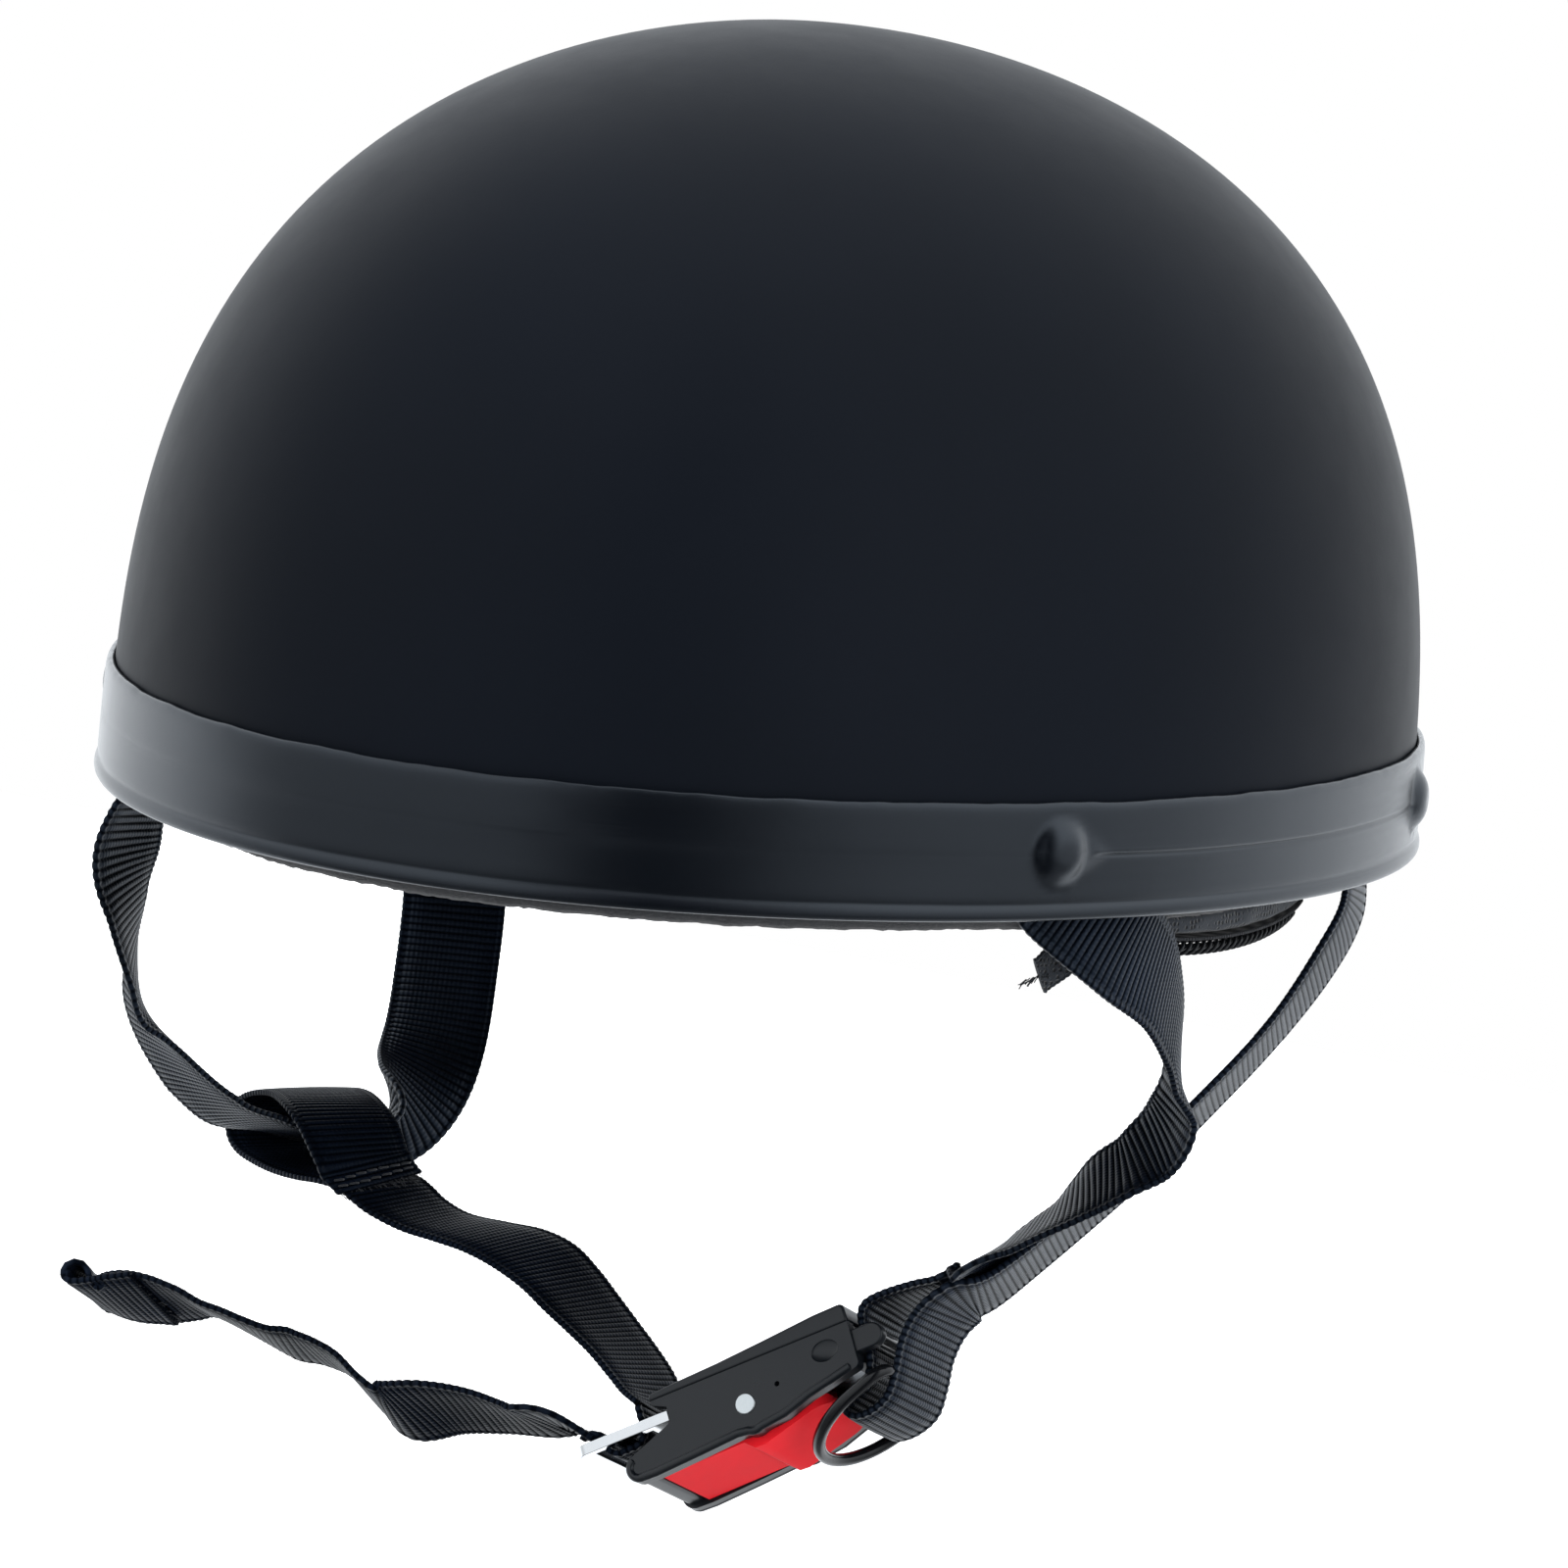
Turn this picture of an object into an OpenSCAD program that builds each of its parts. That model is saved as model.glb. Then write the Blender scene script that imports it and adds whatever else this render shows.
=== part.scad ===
// Open-face half helmet with a webbing chin strap and a quick-release buckle.
// Frame: +Z up, -Y is the wearer's face, +X is the wearer's left, and the
// origin is the middle of the head opening, in the plane of the edge trim's foot.
// Positive angles round the helmet run from the wearer's left to the back.

/* [Shell] */
// Half of the width over the edge trim
half_width = 115; // [105:1:125]
// Half of the length over the edge trim
half_length = 136; // [126:1:146]
// Height of the crown above the trim's foot
crown_height = 142; // [130:1:155]
// How much wider the back is than the front, as a share of the width
egg = 0.08; // [0:0.01:0.12]
// Bulge of the side profile, where 2 is a plain ellipse
bulge = 2.9; // [2.4:0.1:3.2]
// Backward shift of the crown
crown_back = 4; // [0:0.5:8]
// Wall of the shell
shell_wall = 3.5; // [3:0.1:4.5]

/* [Edge trim] */
// Height of the trim's outer leg
trim_height = 20.5; // [18:0.5:26]
// Height of the trim's inner leg
trim_inner_height = 4.5; // [3.5:0.5:5]
// Wall of the trim
trim_wall = 1.2; // [0.8:0.1:1.5]
// How far the rolled bead at the foot stands out
bead_out = 0.5; // [0.2:0.1:0.8]
// Height of the rolled bead
bead_height = 3; // [2.4:0.1:4]

/* [Liner] */
// Depth of the foam liner at the side
foam_wall = 24; // [20:1:28]
// Depth of the padded fabric liner inside the foam
comfort_wall = 4.5; // [3:0.5:6]
// How far the felt under the foam hangs below the trim
felt_drop = 3.6; // [2:0.2:5]
// Depth of the pocket for the straps, from the outside of the trim
pocket_depth = 11.4; // [11.2:0.1:12.4]
// Height of the pocket for the straps
pocket_height = 27; // [26:1:34]

/* [Ear pad] */
// How far the ear pad hangs below the felt
pad_drop = 4.6; // [3:0.2:6]
// Depth of the ear pad, from its outside to its inside
pad_wall = 14; // [10:1:18]
// Turns of the zip's coil
zip_turns = 24; // [20:1:40]
// Radius of the zip's coil
zip_radius = 1.1; // [0.9:0.1:1.3]
// Radius of the zip's filament
zip_wire = 0.34; // [0.2:0.01:0.36]

/* [Webbing] */
// Width of the webbing
web_width = 20; // [18:0.5:20.4]
// Thickness of the webbing
web_thick = 1.3; // [1:0.1:1.5]

/* [Rivets] */
// Angle of the front rivets, forward of the side
front_angle = 27; // [24:1:30]
// Angle of the rear rivets, behind the side
rear_angle = 24; // [21:1:27]
// Height of the rivets above the trim's foot
rivet_height = 12; // [11.5:0.5:13]
// Radius of a rivet's head
rivet_head_r = 5; // [4:0.5:5.5]
// Rise of a rivet's head
rivet_rise = 1.7; // [1.2:0.1:2]
// Radius of a rivet's shank
rivet_r = 2; // [1.5:0.1:2.4]
// Radius of a rivet's washer
washer_r = 4.2; // [3.6:0.1:4.5]
// Thickness of a rivet's washer
washer_thick = 0.8; // [0.6:0.1:1]

/* [Buckle] */
// Width of the buckle's body
buckle_width = 26; // [26:0.5:28]
// Wall of the buckle's cheeks
cheek_wall = 2.6; // [2.2:0.1:2.6]
// Length from the pin to the buckle's back end
buckle_back = 22.8; // [22.4:0.1:23]
// Radius of the pin
pin_r = 1.95; // [1.6:0.05:2]
// Running clearance of the lever on its pin
pin_play = 0.05; // [0.03:0.01:0.08]
// Radius of the bar that the strap goes round
strap_bar_r = 1.3; // [1:0.1:1.4]

/* [Lever] */
// Clearance between the release lever and each cheek
lever_play = 0.7; // [0.4:0.1:1.2]
// Thickness of the lever's plate
lever_plate = 2; // [1.6:0.1:2.2]
// Length from the pin to the end of the finger grip
grip_length = 14.2; // [13:0.1:14.4]

/* [Tongue] */
// Thickness of the tongue's plate
tongue_thick = 2; // [1.6:0.1:2]
// Width of the tongue's slotted end
tongue_width = 24; // [23.4:0.2:25.6]
// Clearance between the tongue and each cheek
tongue_play = 0.8; // [0.5:0.1:1.6]
// Length of the tongue's tip past the pin
tongue_tip = 8.6; // [8:0.1:9]

/* [D ring] */
// Radius of the ring's wire
ring_wire = 1.2; // [1:0.1:1.4]
// Half of the ring's width, at the middle of the wire
ring_half = 12.8; // [12.6:0.1:13.6]
// Depth of the ring, at the middle of the wire
ring_depth = 20.6; // [20:0.1:22]
// Angle of the resting ring below the buckle's line
ring_rest = 20; // [20:1:24]

/* [Hidden] */

// Clearance between the trim and the shell, which both have flat facets
trim_gap = 0.4;
// Clearance between two domes one inside the other
dome_gap = 0.9;
// Clearance between a soft piece and its seat
soft_gap = 0.3;

// The free webbing was routed on a helmet of this half width and half length
routed_half = [115, 136];
// Height below which the webbing no longer follows the helmet's size
follow_low = -75;
follow_high = -12;

// Depths are measured inward from the outside of the edge trim.
shell_depth = trim_wall + trim_gap;
shell_inside = shell_depth + shell_wall;
leg_depth = shell_inside + 0.4;
leg_inside = leg_depth + trim_wall;
strap_depth_low = leg_inside + 1.3 + web_thick / 2;
strap_depth_rivet = shell_inside + 0.6 + web_thick / 2;
foam_depth = shell_inside + dome_gap;
foam_inside = foam_depth + foam_wall;
comfort_depth = foam_inside + dome_gap;
comfort_inside = comfort_depth + comfort_wall;
felt_depth = pocket_depth - 0.4;
felt_top = 1.2;
pad_depth = pocket_depth + 3.4;
// Share of the crown height by which the widest line lies below the trim's foot
foot_share = 0.018;

// Points round the shell, the liners and the felt
shell_sides = 64;
liner_sides = 40;
felt_sides = 48;

function unit(v) = v / norm(v);
function turned(a, p) =
    let (x = [p.x, p.y * cos(a.x) - p.z * sin(a.x), p.y * sin(a.x) + p.z * cos(a.x)],
         y = [x.x * cos(a.y) + x.z * sin(a.y), x.y, x.z * cos(a.y) - x.x * sin(a.y)])
    [y.x * cos(a.z) - y.y * sin(a.z), y.x * sin(a.z) + y.y * cos(a.z), y.z];

// The dome: crown height and width share at a height, for a surface at a depth
function crown(depth) = crown_height - max(depth - shell_depth, 0);
function rise(z, depth) =
    (z + foot_share * crown_height) / (crown(depth) + foot_share * crown_height);
function spread(z, depth) =
    sqrt(max(1 - pow(max(rise(z, depth), 0), bulge), 0))
    / sqrt(1 - pow(rise(0, depth), bulge));
function wall(angle, z, depth) =
    let (s = spread(z, depth))
    [(half_width - depth) * s * cos(angle) * (1 + egg * sin(angle)),
     (half_length - depth) * s * sin(angle) + crown_back * pow(z / crown_height, 2),
     z];
function along(angle) = unit(wall(angle + 1, 0, 0) - wall(angle - 1, 0, 0));
function outward(angle) = cross(along(angle), [0, 0, 1]);
function hoop(z, depth, sides) =
    [for (i = [0 : sides - 1]) wall(360 * i / sides, z, depth)];
function peak(depth) = [0, crown_back, crown(depth)];

// Catmull-Rom curve through stations, with a number of steps between two of them
function between(a, b, c, d, t) =
    0.5 * (2 * b + (c - a) * t + (2 * a - 5 * b + 4 * c - d) * t * t
    + (3 * b - a - 3 * c + d) * t * t * t);
function smooth(list, steps) =
    let (last = len(list) - 1)
    concat([for (i = [0 : last - 1], k = [0 : steps - 1])
        between(list[max(i - 1, 0)], list[i], list[i + 1], list[min(i + 2, last)],
                k / steps)], [list[last]]);

// Points along an arc in the plane
function arc(c, r, from, to, count) =
    [for (i = [0 : count]) let (a = from + (to - from) * i / count)
        c + r * [cos(a), sin(a)]];

// A closed skin over rings of equally many points, with tips or flat ends
module skin(rings, wrap = false, tips = []) {
    n = len(rings[0]);
    m = len(rings);
    runs = wrap ? m : m - 1;
    points = concat([for (ring = rings, p = ring) p], tips);
    sides = [for (i = [0 : runs - 1], j = [0 : n - 1])
        let (a = i * n + j, b = i * n + (j + 1) % n,
             c = ((i + 1) % m) * n + j, d = ((i + 1) % m) * n + (j + 1) % n)
        each [[a, b, d], [a, d, c]]];
    first = len(tips) > 0
        ? [for (j = [0 : n - 1]) [m * n, (j + 1) % n, j]]
        : [for (j = [1 : n - 2]) [0, j + 1, j]];
    end = (m - 1) * n;
    final = len(tips) > 0
        ? [for (j = [0 : n - 1]) [m * n + 1, end + j, end + (j + 1) % n]]
        : [for (j = [1 : n - 2]) [end, end + j, end + j + 1]];
    polyhedron(points, wrap ? sides : concat(sides, first, final));
}

// A dome wall: rings from the outer crown down to the foot and up the inside
module dome(outer, inner, sides) {
    rings = [for (r = concat(outer, inner)) hoop(r[0], r[1], sides)];
    skin(rings, tips = [peak(outer[0][1]), peak(inner[len(inner) - 1][1])]);
}
// Heights of a dome's rings, closer together towards the crown
function levels(foot, depth, count) =
    [for (i = [0 : count]) foot + (crown(depth) - foot) * sin(85 * i / count)];
function upward(foot, depth, count) =
    [for (z = levels(foot, depth, count)) [z, depth]];
function downward(foot, depth, count) =
    [for (i = [count : -1 : 0]) [levels(foot, depth, count)[i], depth]];

// A flat strip through stations, each a place and the direction of its width
module strip(stations, steps = 2, width = web_width, thick = web_thick) {
    s = smooth(stations, steps);
    last = len(s) - 1;
    rings = [for (i = [0 : last])
        let (run = unit(s[min(i + 1, last)][0] - s[max(i - 1, 0)][0]),
             across = unit(s[i][1] - run * (s[i][1] * run)),
             up = cross(run, across), c = s[i][0])
        [c + across * width / 2 + up * thick / 2, c + across * width / 2 - up * thick / 2,
         c - across * width / 2 - up * thick / 2, c - across * width / 2 + up * thick / 2]];
    skin(rings);
}

// Rivets: front left, rear left, rear right, front right
rivet_angles = [-front_angle, rear_angle, 180 - rear_angle, 180 + front_angle];
function rivet_at(angle) = wall(angle, rivet_height, 0);

// Places the children at a rivet, +Z pointing out of the shell from the given depth
module at_rivet(angle, depth) {
    out = outward(angle);
    translate(rivet_at(angle) - depth * out)
        rotate([0, 90, atan2(out.y, out.x)])
            children();
}

shell_bore_r = rivet_r + 0.03;

module shell() {
    foot = trim_wall + 0.4;
    color([0.07, 0.075, 0.085])
        difference() {
            dome(downward(foot, shell_depth, 12), upward(foot, shell_inside, 9), shell_sides);
            for (angle = rivet_angles)
                at_rivet(angle, shell_inside + 2)
                    cylinder(r = shell_bore_r, h = shell_wall + 4, $fn = 32);
        }
}

// The trim: angles crowd together round each rivet, where the trim bulges over the head
bump_reach = rivet_head_r + 3;
function bump(angle, z) =
    let (p = wall(angle, z, 0))
    max([for (a = rivet_angles)
        let (share = norm(p - rivet_at(a)) / bump_reach)
        share < 1 ? (rivet_rise + 0.8) * pow(cos(90 * share), 1.3) : 0]);
trim_steps = concat([for (a = rivet_angles, k = [-5 : 5]) a + k * 0.78],
    [for (span = [[-front_angle, rear_angle], [rear_angle, 180 - rear_angle],
                  [180 - rear_angle, 180 + front_angle], [180 + front_angle, 360 - front_angle]])
        let (a = span[0] + 4.6, b = span[1] - 4.6, count = ceil((b - a) / 6))
        for (k = [0 : count]) a + (b - a) * k / count]);
function sorted(list) =
    len(list) <= 1 ? list :
    let (pivot = list[floor(len(list) / 2)])
    concat(sorted([for (x = list) if (x < pivot) x]), [for (x = list) if (x == pivot) x],
           sorted([for (x = list) if (x > pivot) x]));
function trim_ring(angle) =
    let (top = trim_height, push = function (z) bump(angle, z) * outward(angle),
         skin_at = function (z, depth) wall(angle, z, depth) + push(z),
         rows = [bead_height, 6.2, 8, 10, 12, 14, 16, 18])
    concat([wall(angle, 0, trim_wall), wall(angle, bead_height * 0.35, -bead_out),
            wall(angle, bead_height * 0.8, -bead_out * 0.7)],
           [for (z = rows) skin_at(z, 0)],
           [wall(angle, top, 0), wall(angle, top, trim_wall)],
           [for (z = [16, 12, 8]) skin_at(z, trim_wall)],
           [wall(angle, trim_wall + 0.1, trim_wall), wall(angle, trim_wall + 0.1, leg_depth),
            wall(angle, trim_inner_height, leg_depth), wall(angle, trim_inner_height, leg_inside),
            wall(angle, 0.3, leg_inside)]);

module edge_trim() {
    color([0.17, 0.18, 0.2])
        skin([for (angle = sorted(trim_steps)) trim_ring(angle)], wrap = true);
}

module foam_liner() {
    foot = felt_top + soft_gap;
    color([0.2, 0.2, 0.21])
        dome(concat(downward(pocket_height + 5, foam_depth, 8),
                    [[pocket_height, pocket_depth], [foot, pocket_depth]]),
             upward(foot, foam_inside, 8), liner_sides);
}

module comfort_liner() {
    foot = felt_top + soft_gap;
    color([0.1, 0.1, 0.11])
        dome(downward(foot, comfort_depth, 8), upward(foot, comfort_inside, 6), liner_sides);
}

module edge_felt() {
    color([0.08, 0.08, 0.09])
        skin([for (i = [0 : felt_sides - 1])
            let (a = 360 * i / felt_sides)
            [wall(a, felt_top, felt_depth), wall(a, felt_top, comfort_inside),
             wall(a, -felt_drop, comfort_inside - 1.5), wall(a, -felt_drop, felt_depth + 0.6)]],
            wrap = true);
}

// The ear pad hangs under the felt, between the legs of the left strap.
pad_from = -13;
pad_to = 15;
pad_steps = 14;
function pad_angle(share) = pad_from + (pad_to - pad_from) * share;
// The pad is full in the middle, and draws in at its two ends
function fullness(share) = 0.35 + 0.65 * pow(sin(180 * share), 0.6);
function pad_low(share) = -felt_drop - soft_gap - pad_drop * fullness(share);
function pad_face(share) = pad_depth + 1.6 * (1 - fullness(share));

module ear_pad() {
    top = -felt_drop - soft_gap;
    color([0.12, 0.12, 0.13])
        skin([for (i = [pad_steps : -1 : 0])
            let (t = i / pad_steps, a = pad_angle(t), f = fullness(t), low = pad_low(t),
                 face = pad_face(t), mid = (top + low) / 2, back = face + pad_wall * f)
            [wall(a, top, face + 0.8), wall(a, top * 0.7 + low * 0.3, face),
             wall(a, top * 0.25 + low * 0.75, face + 0.3), wall(a, low, face + 1.6),
             wall(a, low - 0.2 * f, (face + back) / 2), wall(a, low * 0.7 + top * 0.3, back),
             wall(a, top, back)]]);
}

// The zip lies along the foot of the pad: a tape, and a coil below its edge.
function zip_place(share, drop) = wall(pad_angle(share), pad_low(share) - drop,
                                       pad_face(share) + 2.4);
tape_thick = 0.6;

module zip_tape() {
    color([0.06, 0.06, 0.07])
        skin([for (i = [0 : pad_steps])
            let (t = 0.03 + 0.94 * i / pad_steps, a = pad_angle(t), d = pad_face(t) + 1.4,
                 z = pad_low(t) - soft_gap)
            [wall(a, z, d), wall(a, z, d + 5), wall(a, z - tape_thick, d + 5),
             wall(a, z - tape_thick, d)]]);
}

zip_sides = 6;
zip_rings = 8;
zip_axis_drop = soft_gap + tape_thick + 0.2 + zip_radius + zip_wire;
function zip_point(turn) =
    let (share = 0.05 + 0.9 * turn / zip_turns, a = pad_angle(share), angle = 360 * turn)
    zip_place(share, zip_axis_drop) + zip_radius * (cos(angle) * outward(a)
    + sin(angle) * [0, 0, 1]);
function least_gap(list, skip) =
    min([for (i = [0 : len(list) - 1 - skip])
        min([for (k = [skip : min(skip + 4, len(list) - 1 - i)]) norm(list[i] - list[i + k])])]);

module zip_coil() {
    count = zip_turns * zip_rings;
    path = [for (i = [0 : count]) zip_point(i / zip_rings)];
    echo(least_gap_of_the_coil = least_gap(path, zip_rings - 2) - 2 * zip_wire);
    color([0.05, 0.05, 0.055])
        skin([for (i = [0 : count])
            let (run = unit(path[min(i + 1, count)] - path[max(i - 1, 0)]),
                 side = unit(cross(run, along(pad_angle(i / count)))), up = cross(run, side))
            [for (k = [0 : zip_sides - 1])
                let (a = 360 * k / zip_sides)
                path[i] + zip_wire * (cos(a) * side - sin(a) * up)]]);
}

rivet_tail = 0.6;
washer_depth = strap_depth_low + web_thick / 2 - 0.1;
rivet_reach = washer_depth + washer_thick + 0.1 + rivet_tail;

module rivets() {
    cap_r = (pow(rivet_head_r, 2) + pow(rivet_rise, 2)) / (2 * rivet_rise);
    color([0.5, 0.51, 0.53])
        for (angle = rivet_angles) {
            at_rivet(angle, shell_depth - 0.4)
                intersection() {
                    translate([0, 0, rivet_rise - cap_r])
                        sphere(r = cap_r, $fn = 48);
                    cylinder(r = rivet_head_r + 1, h = rivet_rise + 1, $fn = 48);
                }
            at_rivet(angle, rivet_reach)
                cylinder(r = rivet_r, h = rivet_reach - shell_depth + 1.2, $fn = 32);
            at_rivet(angle, rivet_reach)
                cylinder(r = rivet_r + 0.9, h = rivet_tail, $fn = 32);
        }
}

module rivet_washers() {
    color([0.62, 0.63, 0.65])
        for (angle = rivet_angles)
            at_rivet(angle, rivet_reach - rivet_tail - 0.1)
                difference() {
                    cylinder(r = washer_r, h = washer_thick, $fn = 48);
                    translate([0, 0, -1])
                        cylinder(r = rivet_r + 0.05, h = washer_thick + 2, $fn = 32);
                }
}

// The webbing's route at a rivet: top end, rivet and the way out under the trim.
// It leans towards a larger angle round the helmet as it goes down.
function mm_per_degree(angle) = norm(wall(angle + 0.5, 0, 0) - wall(angle - 0.5, 0, 0));
function leg_top(angle, lean) =
    let (low = strap_depth_low - strap_depth_rivet)
    [for (s = [[11, 1.2], [5, 0.8], [0, 0.9], [-3, 0.75 * low], [-6, low], [-12, low + 0.2]])
        let (a = angle - s[0] * sin(lean) / mm_per_degree(angle),
             z = rivet_height + s[0] * cos(lean))
        [wall(a, z, strap_depth_rivet + s[1]), along(a) * cos(lean) + [0, 0, sin(lean)]]];
function follow(list) =
    [for (s = list)
        let (share = min(max((s[0].z - follow_low) / (follow_high - follow_low), 0), 1))
        [[s[0].x + s[0].x * share * (half_width / routed_half.x - 1),
          s[0].y + s[0].y * share * (half_length / routed_half.y - 1), s[0].z], s[1]]];
function reversed(list) = [for (i = [len(list) - 1 : -1 : 0]) list[i]];
// A strap's width runs from the face side to the back on both sides of the helmet
function mirrored_width(list) = [for (s = list) [s[0], -s[1]]];

module holed(angles) {
    difference() {
        children();
        for (angle = angles)
            at_rivet(angle, rivet_reach + 1)
                cylinder(r = rivet_r + 0.05, h = rivet_reach - shell_inside + 1.4, $fn = 32);
    }
}

// Buckle frame: +X from the tongue to the strap bar, +Y to the back, +Z to the chin,
// with its origin on the pin's axis
buckle_at = [32, -24, -107];
buckle_turn = [-26, -30, 15];
function on_buckle(p) = buckle_at + turned(buckle_turn, p);
function across_buckle(y) = turned(buckle_turn, y);
module in_buckle() {
    translate(buckle_at)
        rotate(buckle_turn)
            children();
}
function buckle_route(list) =
    [for (p = list) [on_buckle([p[0], 0, p[1]]), across_buckle([0, 1, 0])]];

// Left strap: from the front rivet down to the buckle, round its bar, and up to the rear rivet
left_front_route = [
    [[100.5, -39.5, -6], [0.1, 0.65, 0.75]], [[102, -28, -13], [-0.15, 0.65, 0.75]], [[101, -18, -22], [-0.3, 0.65, 0.7]],
    [[100, -13, -29], [-0.4, 0.7, 0.6]], [[99, -11, -33], [-0.6, 0.7, 0.4]],
    [[99, -9, -37], [-0.7, 0.7, 0.3]], [[98, -9, -42], [-0.7, 0.6, 0.25]],
    [[95, -9, -47], [-0.65, 0.65, 0.35]], [[91, -11, -51], [-0.55, 0.75, 0.3]],
    [[86, -12, -55], [-0.5, 0.8, 0.3]], [[82, -13, -59], [-0.4, 0.9, 0.25]],
    [[78, -14, -63], [-0.3, 0.95, 0.15]], [[73, -15, -67], [-0.25, 0.95, 0.1]],
    [[68, -16, -71], [-0.1, 1, 0]]];
left_loop_route = [
    [46, 11.2], [40.5, 9.3], [35.5, 10.4], [29.5, 11.9], [25.6, 11.2], [24.1, 8.4],
    [23.95, 3.6], [23.7, 0.2], [22, -3.1], [18.6, -4.6], [16.6, -6.4], [17.8, -8.6],
    [21.8, -9.3], [26.6, -7.6], [30.6, -3.2], [34.4, 1.6], [37.8, 5.2], [41.5, 7.4]];
left_rear_route = [
    [[67, -7, -77], [-0.2, 0.9, -0.3]], [[81, 9, -58], [-0.3, 0.9, -0.35]],
    [[91, 21, -42], [-0.3, 0.9, -0.3]], [[97, 31, -30], [-0.3, 0.9, -0.3]],
    [[101, 40, -18], [-0.25, 0.9, -0.3]], [[102, 47, -9], [-0.25, 0.95, -0.2]]];
left_route = concat(leg_top(-front_angle, 43), follow(left_front_route),
    buckle_route(left_loop_route), follow(left_rear_route), reversed(leg_top(rear_angle, -14)));

module left_strap() {
    color([0.09, 0.095, 0.11])
        holed([-front_angle, rear_angle])
            strip(left_route);
}

// Right strap: from the front rivet through the chin strap's loop to the rear rivet
right_route = concat(mirrored_width(leg_top(180 + front_angle, 6)), follow([
    [[-94, -61, -18], [0, 1, -0.1]], [[-94, -59, -31], [-0.3, 0.95, -0.1]],
    [[-94, -56, -41], [-0.5, 0.85, -0.15]], [[-95, -51, -50], [-0.6, 0.75, -0.25]],
    [[-93, -44, -59], [-0.65, 0.65, -0.35]], [[-90, -36, -67], [-0.6, 0.6, -0.4]],
    [[-87, -28, -72], [-0.55, 0.7, -0.4]], [[-83, -16, -76], [-0.5, 0.8, -0.35]],
    [[-79, -4, -78], [-0.4, 0.85, -0.35]], [[-77, 7, -77], [-0.2, 0.9, -0.35]],
    [[-78, 18, -72], [0.3, 0.9, -0.25]], [[-82, 30, -63], [0.8, 0.55, 0]],
    [[-87, 40, -51], [0.85, 0.5, 0.1]], [[-91, 47, -38], [0.8, 0.6, 0.1]],
    [[-96, 53, -22], [0.6, 0.8, 0.05]], [[-99, 56, -10], [0.45, 0.9, 0]]]),
    mirrored_width(reversed(leg_top(180 - rear_angle, -8))));

module right_strap() {
    color([0.09, 0.095, 0.11])
        holed([180 - rear_angle, 180 + front_angle])
            strip(right_route);
}

// The small folded end of the strap's lining beside the front left leg
tab_route = [[[90.5, -38.5, -6], [0.4, 0.9, 0.1]], [[90.5, -41, -9], [0.35, 0.9, 0.2]],
             [[88.5, -46, -13], [0.3, 0.9, 0.35]]];

module strap_tab() {
    color([0.16, 0.17, 0.19])
        strip(follow(tab_route), width = 8, thick = 0.8);
}

// Chin strap: its sewn loop round the right strap, then down to the tongue
chin_loop_route = [
    [[-68, -13, -85], [0.5, 0.85, 0]], [[-74, -12, -86], [0.5, 0.85, 0]],
    [[-83, -8, -87], [0.5, 0.85, 0]], [[-93, -2, -85.5], [0.55, 0.85, 0]],
    [[-97, 2, -79], [0.55, 0.85, 0]], [[-96, 0, -74], [0.55, 0.85, 0]],
    [[-88, -8, -70], [0.5, 0.85, 0]], [[-77, -17, -68], [0.5, 0.85, 0]],
    [[-69, -22, -70], [0.5, 0.85, 0]], [[-65, -21, -75], [0.5, 0.85, 0]],
    [[-62, -18, -80], [0.4, 0.9, 0]]];
chin_route = concat(chin_loop_route, [
    [[-54, -18, -84], [-0.15, 0.95, 0.2]], [[-45, -19, -86], [-0.3, 0.95, 0.1]],
    [[-37, -19, -87], [-0.4, 0.9, 0.15]], [[-28, -19, -89], [-0.3, 0.9, 0.25]],
    [[-17, -20, -92], [-0.1, 0.95, 0.3]], [[-8, -21, -97], [-0.1, 0.95, 0.25]],
    [[0, -23, -102], [0, 1, 0.1]]]);
// Where the chin strap hands over to the stretch that is threaded in the tongue
handover = 9;
slot_a = -21.6;
chin_end = buckle_route([[slot_a, 17], [slot_a, handover + 3], [slot_a, handover]]);

module chin_strap() {
    color([0.09, 0.095, 0.11])
        strip(concat(chin_route, chin_end));
}

// Inner face of a cheek, and the widths of what runs between the two cheeks
cheek_in = buckle_width / 2 - cheek_wall;
lever_width = 2 * (cheek_in - lever_play);
tongue_inner_width = 2 * (cheek_in - tongue_play);

// Tongue plate, with a slot on each side of its middle bar
tongue_low = 3;
tongue_top = tongue_low + tongue_thick;
slot_length = 4;
slot_b = slot_a - 7.8;
slot_width = web_width + 0.8;
tongue_outer = slot_b - slot_length / 2 - 3.2;
tongue_shoulder = -15.4;
latch_from = 4.2;
latch_length = 2.8;
latch_width = 7;

module tongue_plate() {
    color([0.8, 0.81, 0.83])
        in_buckle()
            translate([0, 0, tongue_low])
                linear_extrude(tongue_thick)
                    difference() {
                        union() {
                            polygon(concat(
                                [[tongue_shoulder, tongue_width / 2]],
                                arc([tongue_outer + 2, tongue_width / 2 - 2], 2, 90, 180, 6),
                                arc([tongue_outer + 2, 2 - tongue_width / 2], 2, 180, 270, 6),
                                [[tongue_shoulder, -tongue_width / 2]]));
                            polygon([[tongue_shoulder - 1, -tongue_inner_width / 2],
                                     [tongue_tip - 3, -tongue_inner_width / 2],
                                     [tongue_tip, 3.5 - tongue_inner_width / 2],
                                     [tongue_tip, tongue_inner_width / 2 - 3.5],
                                     [tongue_tip - 3, tongue_inner_width / 2],
                                     [tongue_shoulder - 1, tongue_inner_width / 2]]);
                        }
                        for (x = [slot_a, slot_b])
                            translate([x - slot_length / 2, -slot_width / 2])
                                square([slot_length, slot_width]);
                        translate([latch_from, -latch_width / 2])
                            square([latch_length, latch_width]);
                    }
}

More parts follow.
